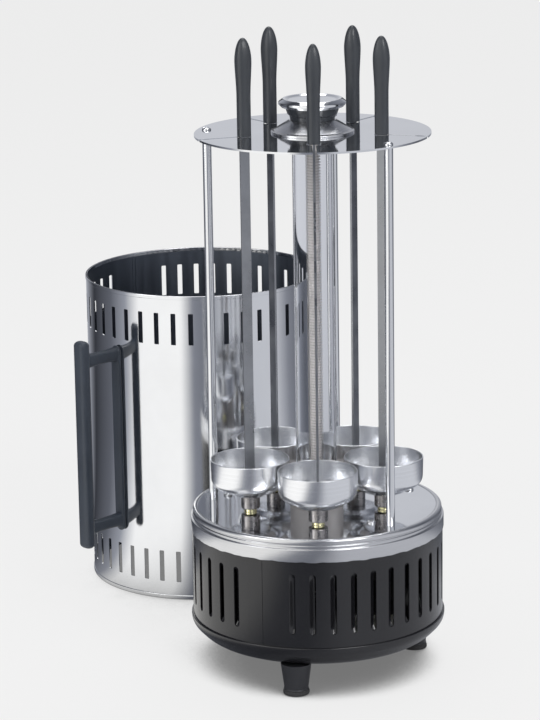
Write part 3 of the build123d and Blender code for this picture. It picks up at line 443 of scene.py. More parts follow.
def piece_from(name, shape, *materials):
    """Turns a bmesh into a shaded object at the origin."""
    mesh = bpy.data.meshes.new(name)
    shape.to_mesh(mesh)
    shape.free()
    for material in materials:
        mesh.materials.append(material)
    mesh.shade_smooth()
    mesh.set_sharp_from_angle(angle=SHARP_ANGLE)
    return add_object(name, mesh)


def rounded(corners, steps):
    """Outline from (radius, height, rounding) corners, with an arc at each rounded one."""
    outline = []
    for index, (across, height, rounding) in enumerate(corners):
        corner = Vector((across, height))
        if not rounding:
            outline.append(corner)
            continue
        before, after = (
            (Vector(corners[near % len(corners)][:2]) - corner).normalized()
            for near in (index - 1, index + 1)
        )
        half = before.angle(after) / 2
        centre = corner + (before + after).normalized() * rounding / math.sin(half)
        start = corner + before * rounding / math.tan(half) - centre
        end = corner + after * rounding / math.tan(half) - centre
        outline += [centre + start.slerp(end, step / steps) * rounding for step in range(steps + 1)]
    return outline


def turned(corners, axis, steps=TURNED_STEPS, arc=ARC_STEPS):
    """A turned mesh about an upright axis; an outline that starts on the axis isn't closed."""
    shape = bmesh.new()
    rings = []
    for across, height in rounded(corners, arc):
        if across < ON_AXIS:
            rings.append([shape.verts.new((axis.x, axis.y, height))])
            continue
        rings.append([
            shape.verts.new(on_circle(axis, across, FULL_TURN * step / steps, height))
            for step in range(steps)
        ])
    pairs = list(zip(rings, rings[1:]))
    if corners[0][0]:
        pairs.append((rings[-1], rings[0]))
    for lower, upper in pairs:
        for step in range(steps):
            after = (step + 1) % steps
            around = (
                lower[step % len(lower)], lower[after % len(lower)],
                upper[after % len(upper)], upper[step % len(upper)],
            )
            different = list(dict.fromkeys(around))
            if len(different) > 2:
                shape.faces.new(different)
    bmesh.ops.recalc_face_normals(shape, faces=shape.faces)
    return shape


def turned_piece(name, corners, material, slot, *nodes, axis=GRILL, body="base", **steps):
    """Makes a turned piece and puts it on its body."""
    settle(piece_from(name, turned(corners, axis, **steps), material), body, slot, *nodes)


def lofted(name, sections, material):
    """Joins rings of as many points each into one skin with flat ends."""
    shape = bmesh.new()
    rings = [[shape.verts.new(point) for point in section] for section in sections]
    for lower, upper in zip(rings, rings[1:]):
        for index in range(len(lower)):
            after = (index + 1) % len(lower)
            shape.faces.new([lower[index], lower[after], upper[after], upper[index]])
    shape.faces.new(list(reversed(rings[0])))
    shape.faces.new(rings[-1])
    bmesh.ops.recalc_face_normals(shape, faces=shape.faces)
    return piece_from(name, shape, material)


def oval(centre, right, forward, across, deep, squareness, points):
    """A ring of points on an oval; a higher squareness gives flatter sides."""
    ring = []
    for index in range(points):
        angle = FULL_TURN * index / points
        c, s = math.cos(angle), math.sin(angle)
        x = math.copysign(abs(c) ** (2 / squareness), c) * across
        y = math.copysign(abs(s) ** (2 / squareness), s) * deep
        ring.append(centre + right * x + forward * y)
    return ring


def copies(name, source, spots, material, slot, *nodes):
    """Copies of a piece at each (place, turn in degrees), on the base."""
    points = bpy.data.meshes.new(name)
    points.from_pydata([spot for spot, _ in spots], [], [])
    turns = points.attributes.new("turn", "FLOAT", "POINT")
    turns.data.foreach_set("value", [math.radians(turn) for _, turn in spots])
    piece = grown(name, points, {
        "points": "GeometryNodeMeshToPoints",
        "turn": ("GeometryNodeInputNamedAttribute", {"Name": "turn"}),
        "about": "ShaderNodeCombineXYZ",
        "rotation": "FunctionNodeEulerToRotation",
        "info": "GeometryNodeObjectInfo",
        "instances": "GeometryNodeInstanceOnPoints",
    }, "given.Geometry > points.Mesh; given.Piece > info.Object; given.Scale > instances.Scale; "
        "turn.Attribute > about.Z; about.Vector > rotation.Euler; points.Points > instances.Points; "
        "info.Geometry > instances.Instance; rotation.Rotation > instances.Rotation; "
        "instances.Instances > realize.Geometry",
        {"Piece": ("Object", source), "Finish": ("Material", material), "Scale": ("Float", 1.0)})
    bpy.data.objects.remove(source)
    settle(piece, "base", slot, *nodes)


def join(name, pieces):
    """Joins pieces into one, with each of their materials once, and keeps their normals."""
    materials, vertices, faces, indices, normals = [], [], [], [], []
    for piece in pieces:
        mesh = piece.data
        offset = len(vertices)
        vertices += [vertex.co.copy() for vertex in mesh.vertices]
        materials += [material for material in mesh.materials if material not in materials]
        corner_normals = mesh.corner_normals
        for polygon in mesh.polygons:
            faces.append([offset + vertex for vertex in polygon.vertices])
            indices.append(materials.index(mesh.materials[polygon.material_index]))
            normals += [corner_normals[loop].vector.copy() for loop in polygon.loop_indices]
        bpy.data.objects.remove(piece)
    mesh = bpy.data.meshes.new(name)
    mesh.from_pydata(vertices, [], faces)
    for material in materials:
        mesh.materials.append(material)
    mesh.polygons.foreach_set("material_index", indices)
    mesh.shade_smooth()
    mesh.normals_split_custom_set(normals)
    return add_object(name, mesh)


def curved_strip(name, axis, inside, outside, low, high, azimuth, width, material):
    """A strip bent to the wall it lies on: a lap or a weld seam."""
    steps = 4
    half = width / 2 / outside
    sections = []
    for step in range(steps + 1):
        angle = math.radians(azimuth) + half * (2 * step / steps - 1)
        sections.append([
            on_circle(axis, radius, angle, height)
            for radius, height in ((inside, low), (outside, low), (outside, high), (inside, high))
        ])
    return lofted(name, sections, material)


# ---------------------------------------------------------------- slotted sheet tubes

CELL_STEPS = 6  # along each side of the sheet around one slot
CORNER_STEPS = 2  # of those, in half of a slot's rounded corner
SLOT_MARGIN = 0.002  # sheet above and below the slots that belongs to their band
WALL_FACING = 0.9  # a face of the wall looks more than this share along the radius


def slot_outline(width, length, corner):
    """Points around a slot, as many as around its cell, from the lower left corner's middle."""
    turns = [math.pi / 4 * (1 - step / CORNER_STEPS) for step in range(CORNER_STEPS + 1)]
    arc = [(corner - corner * math.sin(turn), corner - corner * math.cos(turn)) for turn in turns]
    straight = CELL_STEPS - 2 * CORNER_STEPS
    outline = []
    for quarter in range(4):
        across, along = (length, width) if quarter % 2 else (width, length)
        start = [(x - across / 2, y - along / 2) for x, y in arc]
        left, low = start[-1]
        run = [(left * (1 - 2 * step / straight), low) for step in range(1, straight)]
        end = [(-x, y) for x, y in reversed(start)]
        for x, y in start + run + end[:-1]:
            for _ in range(quarter):
                x, y = -y, x
            outline.append((x, y))
    return outline


class SheetTube:
    """A closed sheet tube with a ring of slots in each of its slotted bands."""

    def __init__(self, axis, radius, sheet, places, left_out, seam):
        self.axis, self.radius, self.sheet = axis, radius, sheet
        self.places, self.left_out = places, left_out
        self.seam = math.radians(seam)
        self.shape = bmesh.new()
        self.layer = {}

    def angle(self, column):
        return self.seam + FULL_TURN * (column / CELL_STEPS + self.left_out / 2) / self.places

    def at(self, angle, height):
        return self.shape.verts.new(on_circle(self.axis, self.radius, angle, height))

    def vert(self, column, height):
        key = (column % (self.places * CELL_STEPS), round(height, 7))
        if key not in self.layer:
            self.layer[key] = self.at(self.angle(column), height)
        return self.layer[key]

    def patch(self, column, low, high):
        after = column + 1
        self.shape.faces.new([
            self.vert(column, low), self.vert(after, low),
            self.vert(after, high), self.vert(column, high),
        ])

    def plain_band(self, low, high, rows=1):
        heights = [low + (high - low) * row / rows for row in range(rows + 1)]
        for lower, upper in zip(heights, heights[1:]):
            for column in range(self.places * CELL_STEPS):
                self.patch(column, lower, upper)

    def slotted_band(self, low, high, width, length, corner):
        heights = [low + (high - low) * row / CELL_STEPS for row in range(CELL_STEPS + 1)]
        slotted = self.places - self.left_out
        for column in range(slotted * CELL_STEPS, self.places * CELL_STEPS):
            for lower, upper in zip(heights, heights[1:]):
                self.patch(column, lower, upper)
        outline = slot_outline(width, length, corner)
        centre = (low + high) / 2
        for first in range(0, slotted * CELL_STEPS, CELL_STEPS):
            last = first + CELL_STEPS
            around = [self.vert(first + step, low) for step in range(CELL_STEPS)]
            around += [self.vert(last, heights[step]) for step in range(CELL_STEPS)]
            around += [self.vert(last - step, high) for step in range(CELL_STEPS)]
            around += [self.vert(first, heights[-1 - step]) for step in range(CELL_STEPS)]
            middle_angle = self.angle(first + CELL_STEPS / 2)
            hole = [self.at(middle_angle + x / self.radius, centre + y) for x, y in outline]
            for index in range(len(around)):
                after = (index + 1) % len(around)
                self.shape.faces.new([around[index], around[after], hole[after], hole[index]])

    def finished(self, name, outside, inside):
        """Gives the skin its thickness inwards and true cylinder normals on both sides."""
        shape = self.shape
        bmesh.ops.recalc_face_normals(shape, faces=shape.faces)
        skin = list(shape.faces)
        outwards = [face.normal.dot(face.calc_center_median() - self.axis) > 0 for face in skin]
        if outwards.count(True) < outwards.count(False):
            bmesh.ops.reverse_faces(shape, faces=skin)
        share = (self.radius - self.sheet) / self.radius
        inner = {}
        for vert in list(shape.verts):
            x = self.axis.x + (vert.co.x - self.axis.x) * share
            y = self.axis.y + (vert.co.y - self.axis.y) * share
            inner[vert] = shape.verts.new((x, y, vert.co.z))
        for edge in [edge for edge in shape.edges if len(edge.link_faces) == 1]:
            loop = edge.link_loops[0]
            a, b = loop.vert, loop.link_loop_next.vert
            shape.faces.new([b, a, inner[a], inner[b]])
        for face in skin:
            back = shape.faces.new([inner[vert] for vert in reversed(face.verts)])
            back.material_index = 1
        piece = piece_from(name, shape, outside, inside)
        self.set_round_normals(piece.data)
        return piece

    def set_round_normals(self, mesh):
        """Makes the wall's faces shade as a true cylinder."""
        normals = []
        for polygon in mesh.polygons:
            centre = polygon.center - self.axis
            away = math.hypot(centre.x, centre.y)
            radial = polygon.normal.x * centre.x / away + polygon.normal.y * centre.y / away
            for loop in polygon.loop_indices:
                normal = polygon.normal.copy()
                if abs(radial) > WALL_FACING:
                    spot = mesh.vertices[mesh.loops[loop].vertex_index].co - self.axis
                    normal = Vector((spot.x, spot.y, 0)).normalized() * math.copysign(1, radial)
                normals.append(normal)
        mesh.normals_split_custom_set(normals)


# ---------------------------------------------------------------- base housing

SHELL_SLOTS, SHELL_LEFT_OUT = 39, 2  # places around the shell, and how many the seam takes
SHELL_SEAM = -26.3
SHELL_LAP = 0.0118  # width of the lap at the seam
FOOT_CIRCLE = 0.081
FOOT_AZIMUTHS = [-13.4 + 120 * index for index in range(3)]
SMALL_STEPS = 48  # around feet, bushes, screws and rods


def louvre_tongue(side):
    """One pressed tongue: flush along one edge and at its ends, leaning inwards to a side."""
    width, length, depth = sizes().slot_width, sizes().slot_length, sizes().louvre_depth
    sheet, covered, taper, blunt = 0.0007, 0.78, 0.04, 10
    across, along = 6, 16
    shape = bmesh.new()
    grid = {}
    for layer in (0, 1):
        for row in range(along + 1):
            t = 2 * row / along - 1
            narrow = math.sqrt(1 - abs(t) ** blunt)
            for column in range(across + 1):
                s = column / across
                x = width * (covered * s - 0.5)
                y = depth * math.sin(s * math.pi / 2) * narrow + sheet * layer
                z = t * length / 2 * (1 - taper * s * s)
                grid[layer, row, column] = shape.verts.new((side * x, y, z))
    for row in range(along):
        for column in range(across):
            cell = [(row, column), (row, column + 1), (row + 1, column + 1), (row + 1, column)]
            shape.faces.new([grid[0, r, c] for r, c in cell])
            shape.faces.new([grid[1, r, c] for r, c in reversed(cell)])
    rim = [(0, c) for c in range(across)] + [(r, across) for r in range(along)]
    rim += [(along, c) for c in range(across, 0, -1)] + [(r, 0) for r in range(along, 0, -1)]
    for a, b in zip(rim, rim[1:] + rim[:1]):
        shape.faces.new([grid[0, *b], grid[0, *a], grid[1, *a], grid[1, *b]])
    bmesh.ops.recalc_face_normals(shape, faces=shape.faces)
    return piece_from("louvre_source", shape)


class GRILL_OT_housing(bpy.types.Operator):
    """Makes the black body shell with its louvres, the bottom dish, the feet and their pads"""

    bl_idname = "grill.housing"
    bl_label = "Base housing"

    def execute(self, context):
        enamel = plain_finish("black_enamel")
        self.shell(enamel)
        self.dish(enamel)
        self.feet()
        return {"FINISHED"}

    def shell(self, enamel):
        s = sizes()
        low, high = ends("body_shell")
        radius = reach("body_shell")
        slot_low = low + s.slot_rise
        slot_high = slot_low + s.slot_length
        slot = (s.slot_width, s.slot_length, s.slot_width * 0.49)
        tube = SheetTube(GRILL, radius, s.sheet, SHELL_SLOTS, SHELL_LEFT_OUT, SHELL_SEAM)
        tube.plain_band(low, slot_low - SLOT_MARGIN)
        tube.slotted_band(slot_low - SLOT_MARGIN, slot_high + SLOT_MARGIN, *slot)
        tube.plain_band(slot_high + SLOT_MARGIN, high, 2)
        wall = tube.finished("body_wall", enamel, enamel)
        lap = curved_strip(
            "shell_lap", GRILL, radius - 0.0001, radius + 0.00035, low + 0.0005, high - 0.001,
            SHELL_SEAM - math.degrees(SHELL_LAP / 2 / radius), SHELL_LAP, enamel,
        )
        settle(join("body_shell_sheet", [wall, lap]), "base", "black_enamel", "body_shell")
        centre = (slot_low + slot_high) / 2
        slots = SHELL_SLOTS - SHELL_LEFT_OUT
        half = slots // 2 + 1
        for name, side, some in (("right", 1, range(half)), ("left", -1, range(half, slots))):
            azimuths = [SHELL_SEAM + 360 / SHELL_SLOTS * (index + 1.5) for index in some]
            spots = [(place(GRILL, radius - 0.0004, turn, centre), turn) for turn in azimuths]
            copies(f"body_louvres_{name}", louvre_tongue(side), spots, enamel, "black_enamel")

    def dish(self, enamel):
        low, high = ends("bottom_dish")
        radius = reach("bottom_dish")
        seam = foot("body_shell")
        wall = 0.0022
        spigot = reach("body_shell") - sizes().sheet - 0.0001
        turned_piece("bottom_dish_sheet", [
            (0, low, 0),
            (radius - 0.012, low, 0.02),
            (radius, low + 0.0125, 0.009),
            (radius, seam, 0.0007),
            (spigot, seam, 0),
            (spigot, high, 0),
            (spigot - wall, high, 0),
            (spigot - wall, low + 0.012, 0),
            (spigot - wall - 0.01, low + wall, 0),
            (0, low + wall, 0),
        ], enamel, "black_enamel", "bottom_dish")

    def feet(self):
        low, high = ends("foot_posts")
        spots = [(place(GRILL, FOOT_CIRCLE, azimuth), azimuth) for azimuth in FOOT_AZIMUTHS]
        post = [
            (0, low, 0),
            (0.0098, low, 0.0003),
            (0.0098, low + 0.0004, 0.0003),
            (0.0093, low + 0.0009, 0.0003),
            (0.0095, low + 0.0022, 0.0006),
            (0.0119, high - 0.0008, 0.0008),
            (0.0119, high, 0),
            (0, high, 0),
        ]
        pad = [
            (0, 0, 0),
            (0.0102, 0, 0.0009),
            (0.0103, low * 0.62, 0.0007),
            (0.0095, low * 0.78, 0.0003),
            (0.0097, low, 0.0003),
            (0, low, 0),
        ]
        moulding = moulded("black_moulding", "moulding", 0.3, 0.42)
        for name, corners, material, slot, node in (
            ("foot_post_set", post, moulding, "black_moulding", "foot_posts"),
            ("foot_pad_set", pad, plain_finish("foot_rubber"), "foot_rubber", "foot_pads"),
        ):
            source = piece_from("foot_source", turned(corners, ORIGIN, SMALL_STEPS), material)
            copies(name, source, spots, material, slot, node)


# ---------------------------------------------------------------- rim and deck

CRIMP_WAVES = ((31, 1, 0), (47, 0.7, 1), (83, 0.5, 0))  # waves around, share of the height, shift
RIM_STEPS = 240
DECK_SCREWS = ((0.0685, 36.7, 20), (0.0816, 114.0, 50), (0.075, -110.0, 75))  # radius, azimuth, turn
ROD_SIDES = ("left", "right", "rear")


class GRILL_OT_deck(bpy.types.Operator):
    """Makes the rolled rim ring, the mirror deck's finish, the brass bushes and the screws"""

    bl_idname = "grill.deck"
    bl_label = "Rim and deck"

    def execute(self, context):
        self.rim()
        dress(mirror_steel("deck_mirror", 0.02, 0.05, 0.03), "deck_plate")
        self.bushes()
        self.screws()
        return {"FINISHED"}

    def rim(self):
        low, top = ends("rim_ring")
        radius = reach("rim_ring")
        under_deck, deck = ends("deck_plate")
        shell_top = head("body_shell")
        ledge = shell_top + 0.0007
        bead = radius - 0.0016
        groove = bead - sizes().bead_groove
        inner = bead - 0.0044
        band = radius - 0.0007
        shape = turned([
            (radius, low, 0.0002),
            (radius, ledge, 0.0006),
            (bead, ledge, 0.0003),
            (bead, ledge + 0.0022, 0.0004),
            (groove, ledge + 0.0027, 0.0003),
            (groove, ledge + 0.0032, 0.0003),
            (bead, ledge + 0.0038, 0.0005),
            (bead - 0.0002, top - 0.0008, 0.0018),
            (bead - 0.0022, top, 0.0012),
            (inner + 0.0006, top - 0.0001, 0.0006),
            (inner, deck, 0),
            (inner, under_deck - 0.0001, 0),
            (inner + 0.0008, under_deck - 0.0008, 0),
            (bead - 0.0012, under_deck - 0.0008, 0),
            (bead - 0.0012, shell_top, 0),
            (band, shell_top, 0),
            (band, low, 0),
        ], GRILL, RIM_STEPS)
        for vert in shape.verts:
            if vert.co.z < low + 0.001:
                turn = math.atan2(vert.co.x - GRILL.x, GRILL.y - vert.co.y)
                wave = sum(share * math.sin(count * turn + shift) for count, share, shift in CRIMP_WAVES)
                vert.co.z += sizes().crimp * wave
        ring = piece_from("rim_rolled", shape, satin_steel("rim_steel", 0.14, 0.24))
        settle(ring, "base", "satin_steel", "rim_ring")

    def bushes(self):
        brass = plain_finish("turned_brass")
        low, high = ends("deck_bushes")
        deck = head("deck_plate")
        bore, shank, collar = 0.00308, 0.0041, 0.005
        bush = piece_from("bush_source", turned([
            (bore, low, 0),
            (shank, low, 0),
            (shank, deck, 0),
            (collar, deck, 0.0003),
            (collar, high - 0.0004, 0.0002),
            (collar - 0.0004, high, 0.0002),
            (bore, high, 0.0003),
        ], ORIGIN, SMALL_STEPS, 3), brass)
        spots = [(middle(f"spindle_{n}"), 0) for n in SPINDLES]
        copies("brass_bushes", bush, spots, brass, "bush_brass", "deck_bushes")

    def screws(self):
        steel = plain_finish("screw_steel")
        deck, plate = head("deck_plate"), head("top_plate")
        spots = [(place(GRILL, radius, azimuth, deck), turn) for radius, azimuth, turn in DECK_SCREWS]
        for index, side in enumerate(ROD_SIDES):
            spots.append((middle(f"support_rod_{side}") + UP * plate, 15 + 32 * index))
        copies(
            "cross_head_screws", cross_head_screw(steel), spots, steel, "mirror_steel", "pan_head_screws"
        )


def cross_head_screw(material):
    """A pan-head screw with its seat at height zero and a cross recess in its crown."""
    radius, edge, crown = 0.0036, 0.0004, 0.0023 * 0.82
    shank, length = 0.0019, 0.009
    cross_width, cross_reach = 0.00038, radius * 0.62
    shares = [math.cos(math.pi / 2 * step / 6) for step in range(6)] + [0.34, 0.26, 0.18, 0.1]
    levels = [(shank, -length), (shank, 0), (radius, 0)]
    levels += [(radius * share, edge + crown * math.sqrt(1 - share * share)) for share in shares]
    sections = []
    for across, height in levels:
        section = []
        for index in range(SMALL_STEPS):
            angle = FULL_TURN * index / SMALL_STEPS
            x, y = across * math.cos(angle), across * math.sin(angle)
            in_cross = height > 0 and across < cross_reach and min(abs(x), abs(y)) < cross_width
            section.append((x, y, height - sizes().recess if in_cross else height))
        sections.append(section)
    return lofted("screw_source", sections, material)


# ---------------------------------------------------------------- spindles and cups


class GRILL_OT_cups(bpy.types.Operator):
    """Makes the five spindles' sleeves and the five stamped drip cups"""

    bl_idname = "grill.cups"
    bl_label = "Spindles and cups"

    def execute(self, context):
        for n in SPINDLES:
            self.sleeve(n)
            self.cup(n)
        return {"FINISHED"}

    def sleeve(self, n):
        node = f"spindle_{n}"
        axis = middle(node)
        shaft, neck = ends(node)
        low = head("deck_bushes") + 0.0003
        top = foot(f"drip_cup_{n}")
        radius = reach(node)
        shaft_radius, neck_radius, neck_bore, slot = 0.003, 0.0045, 0.0041, 0.0012
        shape = turned([
            (0, shaft, 0),
            (shaft_radius, shaft, 0.0003),
            (shaft_radius, low, 0),
            (radius - 0.0003, low, 0.0002),
            (radius, low + 0.0006, 0.0002),
            (radius, top - 0.0006, 0.0003),
            (radius - 0.0003, top, 0.0002),
            (neck_radius, top, 0),
            (neck_radius, neck, 0.0004),
            (neck_bore, neck, 0.0002),
            (neck_bore, top - 0.0002, 0),
            (0, top - 0.0002, 0),
        ], axis, 64, 3)
        across, _ = facing(SPINDLE_PITCH * (n - 1))
        cut = []
        for face in shape.faces:
            centre = face.calc_center_median()
            if centre.z > top + 0.0001 and abs((centre - axis).dot(across)) < slot:
                cut.append(face)
        bmesh.ops.delete(shape, geom=cut, context="FACES")
        open_edges = [edge for edge in shape.edges if len(edge.link_faces) == 1]
        bmesh.ops.holes_fill(shape, edges=open_edges)
        bmesh.ops.recalc_face_normals(shape, faces=shape.faces)
        sleeve = piece_from(f"spindle_sleeve_{n}", shape, sleeve_steel(axis))
        settle(sleeve, node, "satin_steel", node)

    def cup(self, n):
        node = f"drip_cup_{n}"
        axis = middle(node)
        low, top = ends(node)
        radius = reach(node)
        sheet, corner = sizes().cup_sheet, sizes().cup_corner
        foot_radius, hole = 0.0195, 0.0048
        turned_piece(f"cup_stamped_{n}", [
            (hole, low, 0),
            (foot_radius - 0.003, low, 0.003),
            (foot_radius, low + 0.0032, 0.0018),
            (foot_radius + 0.0016, low + 0.0042, 0.0012),
            (radius - 0.0006, low + 0.0054, corner),
            (radius, top - 0.0004, 0.0003),
            (radius - sheet, top, 0.0003),
            (radius - sheet, low + 0.0054 + sheet, corner - sheet),
            (foot_radius + 0.0014, low + 0.0042 + sheet, 0.0016),
            (foot_radius - sheet, low + 0.0032 + sheet, 0.0014),
            (foot_radius - 0.003, low + sheet, 0.0022),
            (hole, low + sheet, 0),
        ], stamped_aluminium(axis), "cup_aluminium", node, axis=axis, body=f"cup_{n}", steps=96, arc=6)


# ---------------------------------------------------------------- skewers

HANDLE_ROWS = 30
HANDLE_FOOT, HANDLE_SWELL = 0.00525, 0.0064  # half widths
SWELL_START, SWELL_END = 0.4, 0.8  # as shares of the height
HANDLE_NOSE = 0.019  # height of the rounded end
HANDLE_TIP = 0.015  # share of the width that is left at the very top


class GRILL_OT_skewers(bpy.types.Operator):
    """Makes the five moulded skewer handles and the blades' finish"""

    bl_idname = "grill.skewers"
    bl_label = "Skewers"

    def execute(self, context):
        grey = moulded("handle_slate", "grey", 0.3, 0.42)
        steel = plain_finish("blade_steel")
        for n in SPINDLES:
            self.handle(n, grey)
            dress(steel, f"skewer_blade_{n}")
        return {"FINISHED"}

    def handle(self, n, material):
        node = f"skewer_handle_{n}"
        low, top = ends(node)
        sideways, outward = facing(SPINDLE_PITCH * (n - 1))
        sections = []
        for row in range(HANDLE_ROWS + 1):
            along = 1 - (1 - row / HANDLE_ROWS) ** 1.6
            height = low + (top - low) * along
            rise = min(1.0, max(0.0, (along - SWELL_START) / (SWELL_END - SWELL_START)))
            half = HANDLE_FOOT + (HANDLE_SWELL - HANDLE_FOOT) * rise * rise * (3 - 2 * rise)
            left = (top - height) / HANDLE_NOSE
            if left < 1:
                half *= math.sqrt(max(0.0, 1 - (1 - left) ** 2)) * (1 - HANDLE_TIP) + HANDLE_TIP
            centre = middle(f"spindle_{n}") + UP * height
            sections.append(oval(centre, outward, sideways, half, half * 0.94, 2.5, 40))
        handle = lofted(f"handle_moulded_{n}", sections, material)
        settle(handle, f"skewer_{n}", "handle_slate", node)


# ---------------------------------------------------------------- heater

COIL_TURNS = 118.0
CORE_RADIUS = 0.0045


class GRILL_OT_heater(bpy.types.Operator):
    """Makes the heater: ceramic base and cap, clear tube and the coil on its core"""

    bl_idname = "grill.heater"
    bl_label = "Heater"

    def execute(self, context):
        ceramic = plain_finish("fired_ceramic")
        dress(ceramic, "heater_socket", "heater_top_cap")
        self.base(ceramic)
        self.tube()
        self.core(ceramic)
        self.coil()
        return {"FINISHED"}

    def base(self, ceramic):
        low, high = ends("heater_base")
        seat = foot("quartz_tube")
        radius = reach("heater_base")
        bore, cup = 0.0061, 0.0161
        turned_piece("heater_base_fired", [
            (bore, low, 0),
            (radius, low, 0.0008),
            (radius, high, 0.0014),
            (cup, high, 0.0008),
            (cup, seat, 0),
            (bore, seat, 0),
        ], ceramic, "heater_ceramic", "heater_base")

    def tube(self):
        low, high = ends("quartz_tube")
        radius = reach("quartz_tube")
        inner, rounding = radius - 0.0018, 0.0004
        turned_piece("quartz_tube_drawn", [
            (inner, low, rounding),
            (radius, low, rounding),
            (radius, high, rounding),
            (inner, high, rounding),
        ], plain_finish("clear_quartz"), "quartz", "quartz_tube", arc=3)

    def core(self, ceramic):
        low, high = ends("heating_core")
        turned_piece("core_rod", [
            (0, low, 0),
            (CORE_RADIUS, low, 0.0004),
            (CORE_RADIUS, high, 0.0004),
            (0, high, 0),
        ], ceramic, "heater_ceramic", steps=40)

    def coil(self):
        """The winding, made by a node tree from its radius, height and number of turns."""
        wire_radius = sizes().coil_wire
        start, end = foot("quartz_tube") + 0.002, head("heating_core") - 0.006
        coil = grown("heating_coil", bpy.data.meshes.new("heating_coil"), {
            "spiral": ("GeometryNodeCurveSpiral", {"Resolution": 14}),
            "section": ("GeometryNodeCurvePrimitiveCircle", {"Resolution": 6}),
            "skin": ("GeometryNodeCurveToMesh", {"Fill Caps": True}),
            "move": "GeometryNodeTransform",
        }, "given.Turns > spiral.Rotations; given.Radius > spiral.Start Radius; "
            "given.Radius > spiral.End Radius; given.Height > spiral.Height; "
            "given.Wire > section.Radius; spiral.Curve > skin.Curve; "
            "section.Curve > skin.Profile Curve; skin.Mesh > move.Geometry; "
            "given.Foot > move.Translation; move.Geometry > realize.Geometry", {
                "Turns": ("Float", COIL_TURNS),
                "Radius": ("Float", reach("heating_core") - wire_radius),
                "Height": ("Float", end - start),
                "Wire": ("Float", wire_radius),
                "Foot": ("Vector", (GRILL.x, GRILL.y, start)),
                "Finish": ("Material", plain_finish("heating_wire")),
            })
        coil.data.shade_smooth()
        settle(coil, "base", "heating_wire", "heating_core")


# ---------------------------------------------------------------- rods, top plate and knob


class GRILL_OT_top(bpy.types.Operator):
    """Makes the three support rods, the slotted mirror plate's finish and the knob"""

    bl_idname = "grill.top"
    bl_label = "Rods, plate and knob"

    def execute(self, context):
        steel = plain_finish("drawn_steel")
        for side in ROD_SIDES:
            self.rod(side, steel)
        dress(mirror_steel("plate_mirror", 0.02, 0.05, 0.03), "top_plate")
        self.knob()
        return {"FINISHED"}

    def rod(self, side, steel):
        node = f"support_rod_{side}"
        low, high = foot(node), foot("top_plate")
        deck = head("deck_plate")
        radius, thread = reach(node), 0.002
        turned_piece(f"rod_drawn_{side}", [
            (0, low, 0),
            (thread, low, 0.0003),
            (thread, deck, 0),
            (radius, deck, 0.0003),
            (radius, high, 0.0003),
            (0, high, 0),
        ], steel, "mirror_steel", node, axis=middle(node), steps=SMALL_STEPS, arc=3)

    def knob(self):
        plate = head("top_plate")
        spigot, neck_low = foot("knob_neck"), head("knob_flange")
        cap_low, cap_high = ends("knob_cap")
        flange_radius, cap_radius = reach("knob_flange"), reach("knob_cap")
        bore, spigot_radius, dish = 0.0031, 0.003, 0.0195
        turned_piece("knob_cone", [
            (bore, plate, 0),
            (flange_radius, plate, 0.0003),
            (flange_radius, plate + 0.0016, 0.0005),
            (flange_radius - 0.0022, plate + 0.0023, 0.001),
            (0.0182, neck_low - 0.0002, 0.0008),
            (0.0176, neck_low, 0.0002),
            (bore, neck_low, 0),
        ], satin_steel("flange_steel", 0.16, 0.28), "satin_steel", "knob_flange")
        turned_piece("knob_neck_moulded", [
            (0, spigot, 0),
            (spigot_radius, spigot, 0.0003),
            (spigot_radius, neck_low, 0),
            (0.017, neck_low, 0.0003),
            (0.0178, neck_low + 0.0032, 0.0008),
            (0.0192, neck_low + 0.0044, 0.0008),
            (0.021, cap_low, 0.0002),
            (0, cap_low, 0),
        ], moulded("neck_moulding", "grey", 0.18, 0.26), "black_moulding", "knob_neck")
        turned_piece("knob_cap_chromed", [
            (0, cap_low, 0),
            (cap_radius - 0.0022, cap_low, 0.0008),
            (cap_radius, cap_low + 0.0022, 0.0008),
            (cap_radius, cap_high - 0.0026, 0.001),
            (cap_radius - 0.0032, cap_high, 0.0012),
            (dish + 0.0014, cap_high, 0.0008),
            (dish - 0.001, cap_high - 0.0012, 0.002),
            (0.004, cap_high - 0.0016, 0),
            (0, cap_high - 0.0016, 0),
        ], mirror_steel("knob_chrome", wave=0.01), "mirror_steel", "knob_cap")


# ---------------------------------------------------------------- casing

CASING_SLOTS, CASING_LEFT_OUT = 42, 3  # places around the casing, and how many the seam takes
CASING_SEAM = -141.6
HEM_STEPS = 252
WELD_WIDTH, WELD_OFFSET = 0.0009, 0.0016
HANDLE_AZIMUTH = -45.0
ARM_RISE, ARM_SPAN = 0.00975, 0.145  # from the strip's foot to the lower arm, and between the arms
ARM_START, ARM_END = 0.002, 0.0364  # from the wall
ARM_STEPS = 12
GRIP_REACH = 0.0404  # from the wall to the grip's middle


